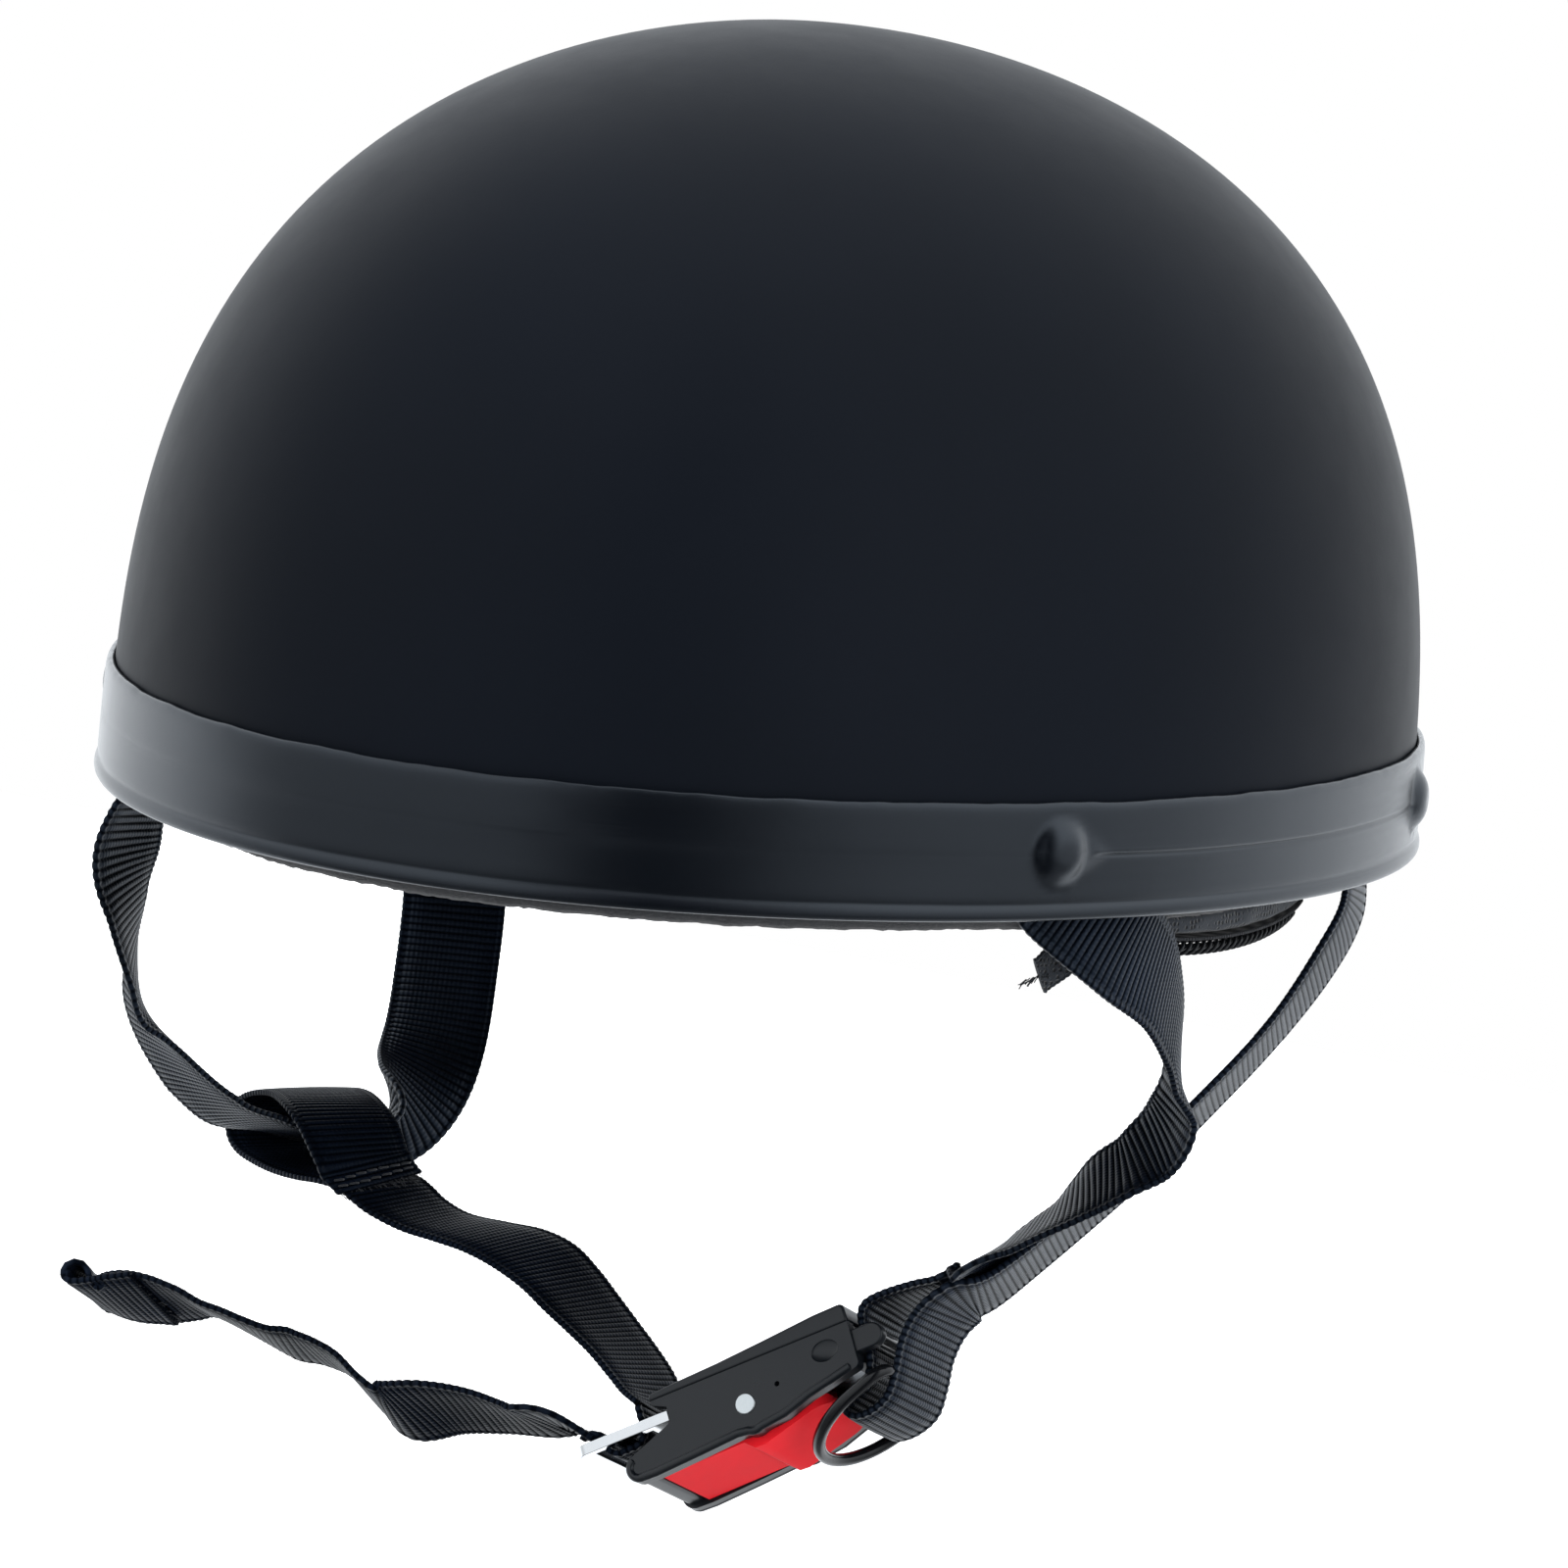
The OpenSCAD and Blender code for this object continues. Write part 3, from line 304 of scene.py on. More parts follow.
def worked_metal(name, dark, pale, smooth, rough, scale, strength):
    """A bare or plated metal: two close tones, uneven gloss and a fine working texture."""
    made, tree, shader = finish(name, {"Metallic": 1.0})
    place = add(tree, "TexCoord").outputs["Object"]
    mottle = add(tree, "TexNoise", {"Scale": scale, "Detail": 5.0, "Roughness": 0.65}, {"Vector": place})
    two_tone(tree, shader, mottle.outputs["Fac"], dark, pale)
    uneven(tree, shader, mottle.outputs["Fac"], smooth, rough)
    drag = add(tree, "Mapping", {"Scale": (300.0, 2600.0, 900.0)}, {"Vector": place})
    lines = add(tree, "TexNoise", {"Scale": 1.0, "Detail": 3.0}, {"Vector": drag.outputs["Vector"]})
    bump = add(tree, "Bump", {"Strength": strength, "Distance": 0.00005}, {"Height": lines.outputs["Fac"]})
    tree.links.new(bump.outputs["Normal"], shader.inputs["Normal"])
    return made


# Dipped lacquer on steel wire: deep black with a wet coat that pools slightly
def gloss_black_lacquer():
    made, tree, shader = finish("gloss_black_lacquer", {
        "IOR": 1.5, "Specular IOR Level": 0.3, "Coat Weight": 0.3, "Coat Roughness": 0.05})
    place = add(tree, "TexCoord").outputs["Object"]
    pool = add(tree, "TexNoise", {"Scale": 260.0, "Detail": 3.0}, {"Vector": place})
    two_tone(tree, shader, pool.outputs["Fac"], "#07080a", "#111215")
    uneven(tree, shader, pool.outputs["Fac"], 0.12, 0.26)
    bump = add(tree, "Bump", {"Strength": 0.12, "Distance": 0.0001}, {"Height": pool.outputs["Fac"]})
    tree.links.new(bump.outputs["Normal"], shader.inputs["Normal"])
    return made


# Bonded polyester sewing thread: twisted, with a slight shine
def twisted_sewing_thread():
    made, tree, shader = finish("twisted_sewing_thread", {"Specular IOR Level": 0.5, "Sheen Weight": 0.15})
    place = add(tree, "TexCoord").outputs["Object"]
    twist = add(tree, "TexNoise", {"Scale": 4200.0, "Detail": 2.0}, {"Vector": place})
    two_tone(tree, shader, twist.outputs["Fac"], "#0e0f12", "#2c3037")
    uneven(tree, shader, twist.outputs["Fac"], 0.4, 0.6)
    bump = add(tree, "Bump", {"Strength": 0.4, "Distance": 0.0001}, {"Height": twist.outputs["Fac"]})
    tree.links.new(bump.outputs["Normal"], shader.inputs["Normal"])
    return made


PAINT = matte_black_sprayed_abs()
VINYL = satin_extruded_vinyl()
WEBBING = ribbed_nylon_webbing("ribbed_nylon_webbing", 0.30)
CHIN_WEBBING = ribbed_nylon_webbing("dull_ribbed_nylon_webbing", 0.08)
FELT = black_needle_felt()
SPACER_MESH = knitted_spacer_mesh()
LINER_CLOTH = brushed_liner_cloth()
BEAD_FOAM = moulded_bead_foam()
ZIP_TAPE = woven_zip_tape()
FILAMENT = drawn_nylon_filament()
BLACK_NYLON = moulded_black_nylon()
RED_NYLON = moulded_red_nylon()
# Nickel-chrome plate on stamped steel: a mirror with the faint pull of polishing
CHROME = worked_metal("polished_chrome_plate", "#e6e8ea", "#f6f7f8", 0.05, 0.14, 300.0, 0.04)
# Bright zinc plate on a headed pin: pale and faintly crystalline
ZINC = worked_metal("bright_zinc_plate", "#dfe6e8", "#f5fafb", 0.30, 0.44, 1400.0, 0.15)
# Plated rivet steel with tool marks
RIVET_STEEL = worked_metal("plated_rivet_steel", "#8f9296", "#b9bcc0", 0.25, 0.42, 500.0, 0.2)
# Spring strip, rolled and hardened: a plain grey steel
SPRING_STEEL = worked_metal("rolled_spring_steel", "#7c7f84", "#a4a8ad", 0.2, 0.36, 420.0, 0.25)
LACQUER = gloss_black_lacquer()
THREAD = twisted_sewing_thread()


# The dome's shape, with the numbers of the part's source, in mm

HALF_WIDTH, HALF_LENGTH, CROWN, EGG, BULGE, CROWN_BACK = 115.0, 136.0, 142.0, 0.08, 2.9, 4.0
FOOT_SHARE = 0.018
SHELL_DEPTH, SHELL_WALL = 1.6, 3.5
COMFORT_DEPTH, COMFORT_WALL = 30.9, 4.5
FELT_DEPTH, FELT_TOP, FELT_DROP = 11.0, 1.2, 3.6
RIVET_HEIGHT, RIVET_RISE = 12.0, 1.7
RIVET_ANGLES = (-27.0, 24.0, 156.0, 207.0)


def crown(depth):
    """Height of the dome's top at a depth under its outer face."""
    return CROWN - np.maximum(depth - SHELL_DEPTH, 0)


def wall(angle, z, depth):
    """Places on the dome, for arrays of angles in degrees, heights and depths."""
    angle, z, depth = np.broadcast_arrays(np.radians(angle), np.asarray(z, float), np.asarray(depth, float))
    lift = FOOT_SHARE * CROWN
    rise = np.clip((z + lift) / (crown(depth) + lift), 0, 1)
    foot = lift / (crown(depth) + lift)
    spread = np.sqrt(np.maximum(1 - rise ** BULGE, 0)) / np.sqrt(1 - foot ** BULGE)
    return np.stack([
        (HALF_WIDTH - depth) * spread * np.cos(angle) * (1 + EGG * np.sin(angle)),
        (HALF_LENGTH - depth) * spread * np.sin(angle) + CROWN_BACK * (z / CROWN) ** 2,
        z], -1)


def along(angle):
    """Level direction round the helmet at an angle."""
    step = wall(np.asarray(angle) + 1.0, 0.0, 0.0) - wall(np.asarray(angle) - 1.0, 0.0, 0.0)
    return step / np.linalg.norm(step, axis=-1, keepdims=True)


def outward(angle):
    """Level direction square to the dome, away from it."""
    a = along(angle)
    return np.stack([a[..., 1], -a[..., 0], np.zeros_like(a[..., 0])], -1)


def ripple(points, size, seed=0.0):
    """Smooth noise of about -1 to 1 for mm points, from a few crossed waves of a given length in mm."""
    p = np.asarray(points) * (2 * math.pi / size)
    total = np.zeros(p.shape[:-1])
    for k, (a, b, c) in enumerate([(1.0, 0.31, 0.74), (-0.62, 1.13, 0.28), (0.43, -0.71, 1.29),
                                   (1.37, 0.55, -0.9), (-0.93, -1.21, 0.66)]):
        total += np.sin(a * p[..., 0] + b * p[..., 1] + c * p[..., 2] + 1.7 * k + seed * (1 + 0.37 * k))
    return total / 3.2


# Modelling helpers

def only(piece):
    """Selects one piece and makes it the active one."""
    bpy.ops.object.select_all(action="DESELECT")
    piece.select_set(True)
    bpy.context.view_layer.objects.active = piece


def placed(piece, places_mm):
    """Moves every vertex of a piece to its place, given in mm."""
    piece.data.vertices.foreach_set("co", (np.asarray(places_mm, float) * MM).ravel())
    piece.data.update()


def places_of(piece):
    """The places of a piece's vertices, in metres."""
    out = np.empty(len(piece.data.vertices) * 3)
    piece.data.vertices.foreach_get("co", out)
    return out.reshape(-1, 3)


def apply(piece, kind, **settings):
    """Adds a modifier with its settings and applies it."""
    only(piece)
    modifier = piece.modifiers.new(kind.lower(), kind)
    for key, value in settings.items():
        setattr(modifier, key, value)
    bpy.ops.object.modifier_apply(modifier=modifier.name)


def smooth(piece, angle=180.0):
    """Shades a piece smooth, with edges sharper than an angle left hard."""
    only(piece)
    if angle >= 180:
        bpy.ops.object.shade_smooth()
    else:
        bpy.ops.object.shade_smooth_by_angle(angle=math.radians(angle))


def coated(piece, material):
    """Gives a piece one material."""
    piece.data.materials.clear()
    piece.data.materials.append(material)


def dress(piece, material, body, slot, *nodes):
    """Gives a piece its material and body, and hides the solids it stands for. Its slot is not used."""
    coated(piece, material)
    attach(piece, body)
    if nodes:
        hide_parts(*nodes)


def named(piece, name):
    """Names a piece and its mesh."""
    piece.name = name
    piece.data.name = name
    return piece


def primitive(name, operator, **settings):
    """Adds a primitive by its operator, with nothing else selected."""
    bpy.ops.object.select_all(action="DESELECT")
    operator(**settings)
    return named(bpy.context.object, name)


def joined(name, pieces):
    """Joins pieces to one."""
    only(pieces[0])
    for piece in pieces[1:]:
        piece.select_set(True)
    bpy.ops.object.join()
    return named(bpy.context.object, name)


def half_ball(name, segments, rings):
    """A UV sphere cut at its middle, with the lower half taken away."""
    piece = primitive(name, bpy.ops.mesh.primitive_uv_sphere_add, segments=segments, ring_count=rings,
                      radius=1.0)
    bpy.ops.object.mode_set(mode="EDIT")
    bpy.ops.mesh.select_all(action="DESELECT")
    bpy.ops.object.mode_set(mode="OBJECT")
    for vertex in piece.data.vertices:
        vertex.select = vertex.co.z < -1e-4
    bpy.ops.object.mode_set(mode="EDIT")
    bpy.ops.mesh.delete(type="VERT")
    bpy.ops.object.mode_set(mode="OBJECT")
    return piece


def dome(name, depth, foot, segments=256, rings=128):
    """A half ball drawn out to the dome's surface at a depth, down to a foot height."""
    piece = half_ball(name, segments, rings)
    co = places_of(piece)
    lift = np.clip(co[:, 2], 0, 1)
    angle = np.degrees(np.arctan2(co[:, 1], co[:, 0]))
    top = float(crown(np.asarray(depth)))
    placed(piece, wall(angle, foot + (top - foot) * lift, depth))
    return piece


def grid(name, wide, rows):
    """A flat grid of a given number of faces each way, with each vertex's column and row."""
    piece = primitive(name, bpy.ops.mesh.primitive_grid_add, x_subdivisions=wide, y_subdivisions=rows,
                      size=2.0, calc_uvs=True)
    co = places_of(piece)
    column = np.rint((co[:, 0] + 1) / 2 * wide).astype(int)
    row = np.rint((co[:, 1] + 1) / 2 * rows).astype(int)
    return piece, column, row


def closed(piece, gap=1e-6):
    """Merges what lies on the same spot and turns the faces outwards."""
    only(piece)
    bpy.ops.object.mode_set(mode="EDIT")
    bpy.ops.mesh.select_all(action="SELECT")
    bpy.ops.mesh.remove_doubles(threshold=gap)
    bpy.ops.mesh.normals_make_consistent(inside=False)
    bpy.ops.object.mode_set(mode="OBJECT")


def hoop(name, angles, profile_at):
    """A grid rolled up to a closed profile and bent round to a closed hoop. profile_at gives places in
    mm for an array of angles, one row of places for each. U runs round the helmet, V along the profile."""
    places = profile_at(angles)
    major, minor = places.shape[:2]
    piece, i, j = grid(name, major, minor)
    placed(piece, places[i % major, j % minor])
    closed(piece)
    return piece


def tube(name, path, radius, hint, sides=10, loop=False):
    """A grid rolled up round a path in mm. Its ends draw in to a point, or it closes on itself."""
    path = np.asarray(path, float)
    if loop:
        run = np.roll(path, -1, 0) - np.roll(path, 1, 0)
        scale = np.ones(len(path))
    else:
        path = np.vstack([path[:1], path[:1], path, path[-1:], path[-1:]])
        run = np.gradient(path, axis=0)
        run[:2], run[-2:] = run[2], run[-3]
        tip = run / np.maximum(np.linalg.norm(run, axis=1, keepdims=True), 1e-9) * radius
        path[0] -= tip[0] * 0.5
        path[-1] += tip[-1] * 0.5
        scale = np.ones(len(path))
        scale[0] = scale[-1] = 0.0
        scale[1] = scale[-2] = 0.8
    run = run / np.linalg.norm(run, axis=1, keepdims=True)
    side = np.cross(run, np.broadcast_to(hint, path.shape))
    side /= np.linalg.norm(side, axis=1, keepdims=True)
    up = np.cross(run, side)
    turn_round = np.arange(sides) * 2 * math.pi / sides
    places = path[:, None] + radius * scale[:, None, None] * (
        np.cos(turn_round)[None, :, None] * side[:, None] + np.sin(turn_round)[None, :, None] * up[:, None])
    count = len(path)
    piece, i, j = grid(name, count if loop else count - 1, sides)
    placed(piece, places[i % count, j % sides])
    closed(piece, 1e-7)
    smooth(piece)
    return piece


# Shell: one smooth moulded dome

shell = dome("shell_dome", SHELL_DEPTH, 1.7)
apply(shell, "SOLIDIFY", thickness=SHELL_WALL * MM, offset=-1.0)
smooth(shell, 50)
dress(shell, PAINT, "helmet", "shell_paint", "shell")


# Edge trim: one extruded profile, drawn over the rivet heads and creased between them

TRIM_PROFILE = np.array([
    (0.45, 6.7), (0.15, 6.42), (0.04, 5.8), (0.0, 4.2), (0.0, 2.4), (0.02, 1.1), (0.12, 0.36),
    (0.34, -0.16), (0.7, -0.43), (1.15, -0.53), (1.7, -0.5), (2.2, -0.38), (2.6, -0.16), (2.88, 0.06),
    (3.12, 0.13), (3.4, 0.07), (3.8, 0.0), (4.6, -0.02), (5.6, -0.02), (6.8, 0.0), (8.0, 0.0), (9.0, 0.0),
    (10.0, 0.0), (10.5, 0.0), (10.8, 0.0), (11.05, 0.0), (11.3, 0.0), (11.55, 0.0), (11.8, 0.0),
    (12.1, 0.0), (12.5, 0.0), (13.1, 0.0), (14.0, 0.0), (15.0, 0.0), (16.0, 0.0), (17.0, 0.0),
    (18.0, 0.0), (18.9, 0.02), (19.6, 0.08), (20.1, 0.24), (20.42, 0.52), (20.5, 0.9), (20.4, 1.3),
    (20.05, 1.5), (19.0, 1.46), (16.0, 1.2), (12.0, 1.2), (8.0, 1.2), (4.0, 1.2), (1.7, 1.25),
    (1.32, 1.6), (1.3, 3.5), (1.34, 5.2), (1.6, 5.5), (3.0, 5.5), (4.2, 5.52), (4.5, 5.75), (4.5, 6.45),
    (4.2, 6.7), (2.5, 6.7), (1.2, 6.7)])
# Depth of the trim's wall, top of its bead, and the flat and slope of the skin over a rivet head
TRIM_IN, BEAD_TOP, CAP_FLAT, CAP_SLOPE = 1.55, 2.9, 1.1, 4.9
# Height of the crease, and how far it reaches from the middle of each side, in degrees
CREASE_HEIGHT, CREASE_REACH = 11.5, 26.0


def trim_places(angles):
    """The trim's profile at each angle, with its skin pushed out by what lies under it."""
    a = angles[:, None]
    z = TRIM_PROFILE[None, :, 0] + 0 * a
    depth = TRIM_PROFILE[None, :, 1] + 0 * a
    out = outward(a + 0 * z)
    place = wall(a + 0 * z, z, depth)
    front = wall(a + 0 * z, z, 0.0)
    outer = ((TRIM_PROFILE[:, 1] < TRIM_IN) & (TRIM_PROFILE[:, 0] > BEAD_TOP))[None, :]
    push = np.zeros(z.shape)
    for rivet in RIVET_ANGLES:
        centre = wall(np.array(rivet), RIVET_HEIGHT, 0.0)
        side = along(np.array(rivet)) * (1.0 if rivet < 90 else -1.0)
        gap = front - centre
        back = gap @ side
        high = gap[..., 2]
        share = np.clip((np.hypot(back * 1.05, high) - CAP_FLAT) / CAP_SLOPE, 0, 1)
        cap = (RIVET_RISE + 0.6) * (1 - share ** 2.3) ** 1.2
        # The skin is drawn out behind the rivet into a drop's tail
        tail = np.clip((back - 2.0) / 9.5, 0, 1)
        breadth = 0.5 + 3.2 * (1 - tail)
        ridge = 1.5 * (1 - tail) ** 1.3 * np.exp(-((high + 0.6) / breadth) ** 2) * (back > 2.0)
        swell = np.maximum(cap, ridge)
        swell[np.linalg.norm(gap, axis=-1) > 20] = 0.0
        push = np.maximum(push, swell)
    # A crease at the rivets' height between each side's two: a narrow groove, and the skin
    # above it hangs over a little
    level = z - CREASE_HEIGHT - 0.2 * ripple(front * [1, 1, 0], 160)
    middle = np.abs(np.abs((a + 1.5 + 90) % 360 - 180) - 90)
    strength = np.clip((CREASE_REACH - middle) / 5, 0.03, 1.0)
    fold = 0.34 / (1 + np.exp(-level / 0.2)) * np.exp(-np.clip(level, 0, None) / 6.0)
    fold = fold - 0.42 * np.exp(-((level + 0.12) / 0.3) ** 2)
    push = push + fold * strength * (push < 0.5)
    # Slow waves of the stretched skin
    push = push + 0.05 * ripple(front, 60) + 0.012 * ripple(front, 19, 1.0)
    top = np.clip((z - 17.5) / 3.0, 0, 1) * (TRIM_PROFILE[None, :, 1] < 1.6)
    place = place + np.where(outer, push, 0)[..., None] * out
    place[..., 2] += top * (0.12 * ripple(front, 21, 4.0) + 0.05 * ripple(front, 7, 5.0))
    return place


trim = hoop("edge_trim_skin", np.linspace(0, 360, 900, endpoint=False), trim_places)
smooth(trim)
dress(trim, VINYL, "helmet", "trim_vinyl", "edge_trim")


# Felt under the foam, with an uneven cut edge

def felt_places(angles):
    """The felt's profile at each angle, with a rough cut edge."""
    inside = COMFORT_DEPTH + COMFORT_WALL
    ring = np.array([
        (FELT_TOP, FELT_DEPTH + 0.5), (FELT_TOP, FELT_DEPTH + 8), (FELT_TOP, inside - 8),
        (FELT_TOP, inside - 0.4), (0.6, inside), (-1.2, inside), (-2.8, inside - 0.5),
        (-FELT_DROP, inside - 2.0), (-FELT_DROP, inside - 8), (-FELT_DROP, 24.0), (-FELT_DROP, 19.0),
        (-FELT_DROP, 15.0), (-FELT_DROP + 0.1, FELT_DEPTH + 1.6), (-2.8, FELT_DEPTH + 0.55),
        (-1.4, FELT_DEPTH + 0.3), (0.2, FELT_DEPTH + 0.1)])
    a = angles[:, None]
    place = wall(a + 0 * ring[None, :, 0], ring[None, :, 0] + 0 * a, ring[None, :, 1] + 0 * a)
    rough = 0.14 * ripple(place, 14.0) + 0.09 * ripple(place, 3.1, 2.0) + 0.09 * ripple(place, 1.7, 3.0)
    place[..., 2] += np.where(ring[None, :, 0] < 0.5, rough - 0.15, 0)
    return place


felt = hoop("edge_felt_band", np.linspace(0, 360, 720, endpoint=False), felt_places)
smooth(felt, 60)
dress(felt, FELT, "helmet", "felt", "edge_felt")


# Cloth liner: a padded dome, swollen between sewn channels

# The liner's length over its width, its pairs of gores, the channels' first height and rise, and its swell
LINER_LONG, GORE_PAIRS, CHANNEL_LOW, CHANNEL_RISE, LINER_SWELL = 1.17, 4, 8, 118, 1.7

liner = dome("comfort_liner_cloth", COMFORT_DEPTH + 0.1, 1.6, 192, 96)
count = len(liner.data.vertices)
apply(liner, "SOLIDIFY", thickness=(COMFORT_WALL - 0.6) * MM, offset=-1.0)
co = places_of(liner) / MM
inner = np.zeros(len(co), bool)
inner[count:] = True
angle = np.degrees(np.arctan2(co[:, 1] / LINER_LONG, co[:, 0]))
gore = np.abs(np.sin(np.radians(angle) * GORE_PAIRS))
band = np.abs(np.sin((co[:, 2] - CHANNEL_LOW) / CHANNEL_RISE * math.pi * 3))
swell = np.clip(np.minimum(gore * 2.6, band * 2.2), 0, 1) ** 0.6
normals = np.empty(len(co) * 3)
liner.data.vertices.foreach_get("normal", normals)
normals = normals.reshape(-1, 3)
push = np.where(inner, LINER_SWELL * swell - 0.5 + 0.15 * ripple(co, 14), 0)
push *= np.clip((co[:, 2] - 2) / 6, 0, 1) * np.clip((136 - co[:, 2]) / 6, 0.35, 1)
placed(liner, co + normals * push[:, None])
smooth(liner, 60)
dress(liner, LINER_CLOTH, "helmet", "liner_fabric", "comfort_liner")


# Webbing

# Rib pitch, mesh rows to a rib, the webbing's width and thickness, and where its columns lie
RIB, RIB_ROWS, WEB_WIDTH, WEB_THICK = 1.45, 5, 20.0, 1.3
COLUMNS = np.array([
    -10.0, -9.85, -9.45, -9.0, -8.65, -8.3, -5.5, -2.75, 0, 2.75, 5.5, 8.3, 8.65, 9.0, 9.45, 9.85, 10.0])


def curve_through(values, steps):
    """Catmull-Rom curve through rows of numbers."""
    v = np.asarray(values, float)
    last = len(v) - 1
    out = []
    for i in range(last):
        a, b, c, d = v[max(i - 1, 0)], v[i], v[i + 1], v[min(i + 2, last)]
        for k in range(steps):
            t = k / steps
            out.append(0.5 * (2 * b + (c - a) * t + (2 * a - 5 * b + 4 * c - d) * t * t
                              + (3 * b - a - 3 * c + d) * t ** 3))
    out.append(v[last])
    return np.array(out)


def even(route, step, square=1.0):
    """Centres and width directions along a route, at even steps of length. A width is turned
    square to the run, or only in part: webbing that is pulled askew keeps its ribs' direction."""
    centres = curve_through([s[0] for s in route], 24)
    widths = curve_through([s[1] for s in route], 24)
    length = np.concatenate([[0], np.cumsum(np.linalg.norm(np.diff(centres, axis=0), axis=1))])
    count = max(int(round(length[-1] / step)), 2)
    at = np.linspace(0, length[-1], count + 1)
    centre = np.stack([np.interp(at, length, centres[:, k]) for k in range(3)], 1)
    width = np.stack([np.interp(at, length, widths[:, k]) for k in range(3)], 1)
    run = np.gradient(centre, axis=0)
    run /= np.linalg.norm(run, axis=1, keepdims=True)
    width /= np.linalg.norm(width, axis=1, keepdims=True)
    width -= square * run * np.sum(width * run, axis=1, keepdims=True)
    width /= np.linalg.norm(width, axis=1, keepdims=True)
    up = np.cross(run, width)
    return at, centre, width, up / np.linalg.norm(up, axis=1, keepdims=True)


def webbing(name, route, width=WEB_WIDTH, thick=WEB_THICK, rib=RIB, cup=0.25, square=1.0):
    """Ribbed webbing: a grid laid along the route, whose thickness swells at every rib."""
    at, centre, across, up = even(route, rib / RIB_ROWS, square)
    piece, i, j = grid(name, len(COLUMNS) - 1, len(at) - 1)
    offset = COLUMNS[i] * width / WEB_WIDTH
    phase = at[j] / rib
    crest = np.sqrt(np.abs(np.sin(math.pi * phase)))
    edge = np.abs(offset) / (width / 2)
    # The ribs turn round each selvedge, which gives the edge its small teeth
    offset = offset + np.sign(offset) * np.where(edge > 0.93, 0.14 * (crest - 0.6), 0)
    lift = cup * (edge ** 2 - 0.4) * np.sin(at[j] / 23.0)
    placed(piece, centre[j] + across[j] * offset[:, None] + up[j] * lift[:, None])
    weight = crest * np.where(edge > 0.995, 0.30, np.where(edge > 0.97, 0.75, 1.0))
    # A stitched chain runs along each selvedge, half a rib out of step, behind a narrow groove
    chain = 0.35 + 0.6 * np.abs(np.cos(math.pi * phase))
    weight = np.where((edge > 0.88) & (edge < 0.96), chain, weight)
    weight = np.where((edge > 0.85) & (edge < 0.88), weight * 0.35, weight)
    group = piece.vertex_groups.new(name="rib")
    for value in np.unique(np.round(weight, 2)):
        chosen = np.nonzero(np.round(weight, 2) == value)[0]
        group.add([int(k) for k in chosen], float(value), "REPLACE")
    loops = np.empty(len(piece.data.loops), int)
    piece.data.loops.foreach_get("vertex_index", loops)
    uv = np.stack([offset[loops] + width / 2, phase[loops]], 1)
    piece.data.uv_layers.active.data.foreach_set("uv", uv.ravel())
    apply(piece, "SOLIDIFY", thickness=thick * MM, offset=0.0, vertex_group="rib",
          thickness_vertex_group=0.45)
    smooth(piece, 70)
    return piece


# Depth that a strap's bends at its rivet are counted from, and that of its middle below the rivet
LEG_DEPTH, LEG_DEPTH_LOW = 6.35, 8.65


def leg_top(angle, lean):
    """Stations of a strap's end inside the trim, over its rivet and down, leaning by some degrees."""
    low = LEG_DEPTH_LOW - LEG_DEPTH
    lean = math.radians(lean)
    size = np.linalg.norm(wall(np.array(angle + 0.5), 0.0, 0.0) - wall(np.array(angle - 0.5), 0.0, 0.0))
    out = []
    for s, depth in [(11, 1.2), (5, 0.8), (0, 0.9), (-3, 0.75 * low), (-6, low), (-12, low + 0.2)]:
        a = angle - s * math.sin(lean) / size
        out.append((wall(np.array(a), RIVET_HEIGHT + s * math.cos(lean), LEG_DEPTH + depth),
                    along(np.array(a)) * math.cos(lean) + np.array([0, 0, math.sin(lean)])))
    return out


def other_way(route):
    """A route with its width turned round."""
    return [(np.asarray(c, float), -np.asarray(w, float)) for c, w in route]


def back_to_front(route):
    """A route run from its far end."""
    return list(route)[::-1]


BUCKLE_AT = np.array([32.0, -24.0, -107.0])
BUCKLE_X = np.array([0.836516, 0.224144, 0.5])
BUCKLE_Y = np.array([-0.020908, 0.924898, -0.379641])
BUCKLE_Z = np.array([-0.547543, 0.307122, 0.778378])


def on_buckle(x, y, z):
    """A place in mm, given in the buckle's own axes."""
    return BUCKLE_AT + BUCKLE_X * x + BUCKLE_Y * y + BUCKLE_Z * z


def buckle_route(points):
    """Stations in the buckle's own axes: x, z and how far the width leans along x."""
    return [(on_buckle(p[0], 0, p[1]), BUCKLE_Y + (BUCKLE_X * p[2] if len(p) > 2 else 0)) for p in points]


LEFT_FRONT = [
    ((100.5, -39.5, -6), (0.1, 0.65, 0.75)), ((102, -28, -13), (-0.15, 0.65, 0.75)),
    ((101, -18, -22), (-0.3, 0.65, 0.7)), ((100, -13, -29), (-0.4, 0.7, 0.6)),
    ((99, -11, -33), (-0.6, 0.7, 0.4)), ((99, -9, -37), (-0.7, 0.7, 0.3)),
    ((98, -9, -42), (-0.7, 0.6, 0.25)), ((95, -9, -47), (-0.65, 0.65, 0.35)),
    ((91, -11, -51), (-0.55, 0.75, 0.3)), ((86, -12, -55), (-0.5, 0.8, 0.3)),
    ((82, -13, -59), (-0.4, 0.9, 0.25)), ((78, -14, -63), (-0.3, 0.95, 0.15)),
    ((73, -15, -67), (-0.25, 0.95, 0.1)), ((68, -16, -71), (-0.1, 1, 0))]
LEFT_LOOP = [
    (46, 10.9), (40.5, 9.8), (35.3, 10.6), (29.5, 11.1), (25.6, 10.6), (24.1, 8.2), (23.95, 3.6),
    (23.7, 0.2), (22, -3.1), (18.6, -4.6), (16.6, -6.4), (17.8, -8.6), (21.6, -9.1, 0.03),
    (25.9, -7.4, 0.06), (28.9, -3.2, 0.07), (31.5, 1.5, 0.07), (35.2, 5.2, 0.07), (40.4, 7.2, 0.04)]
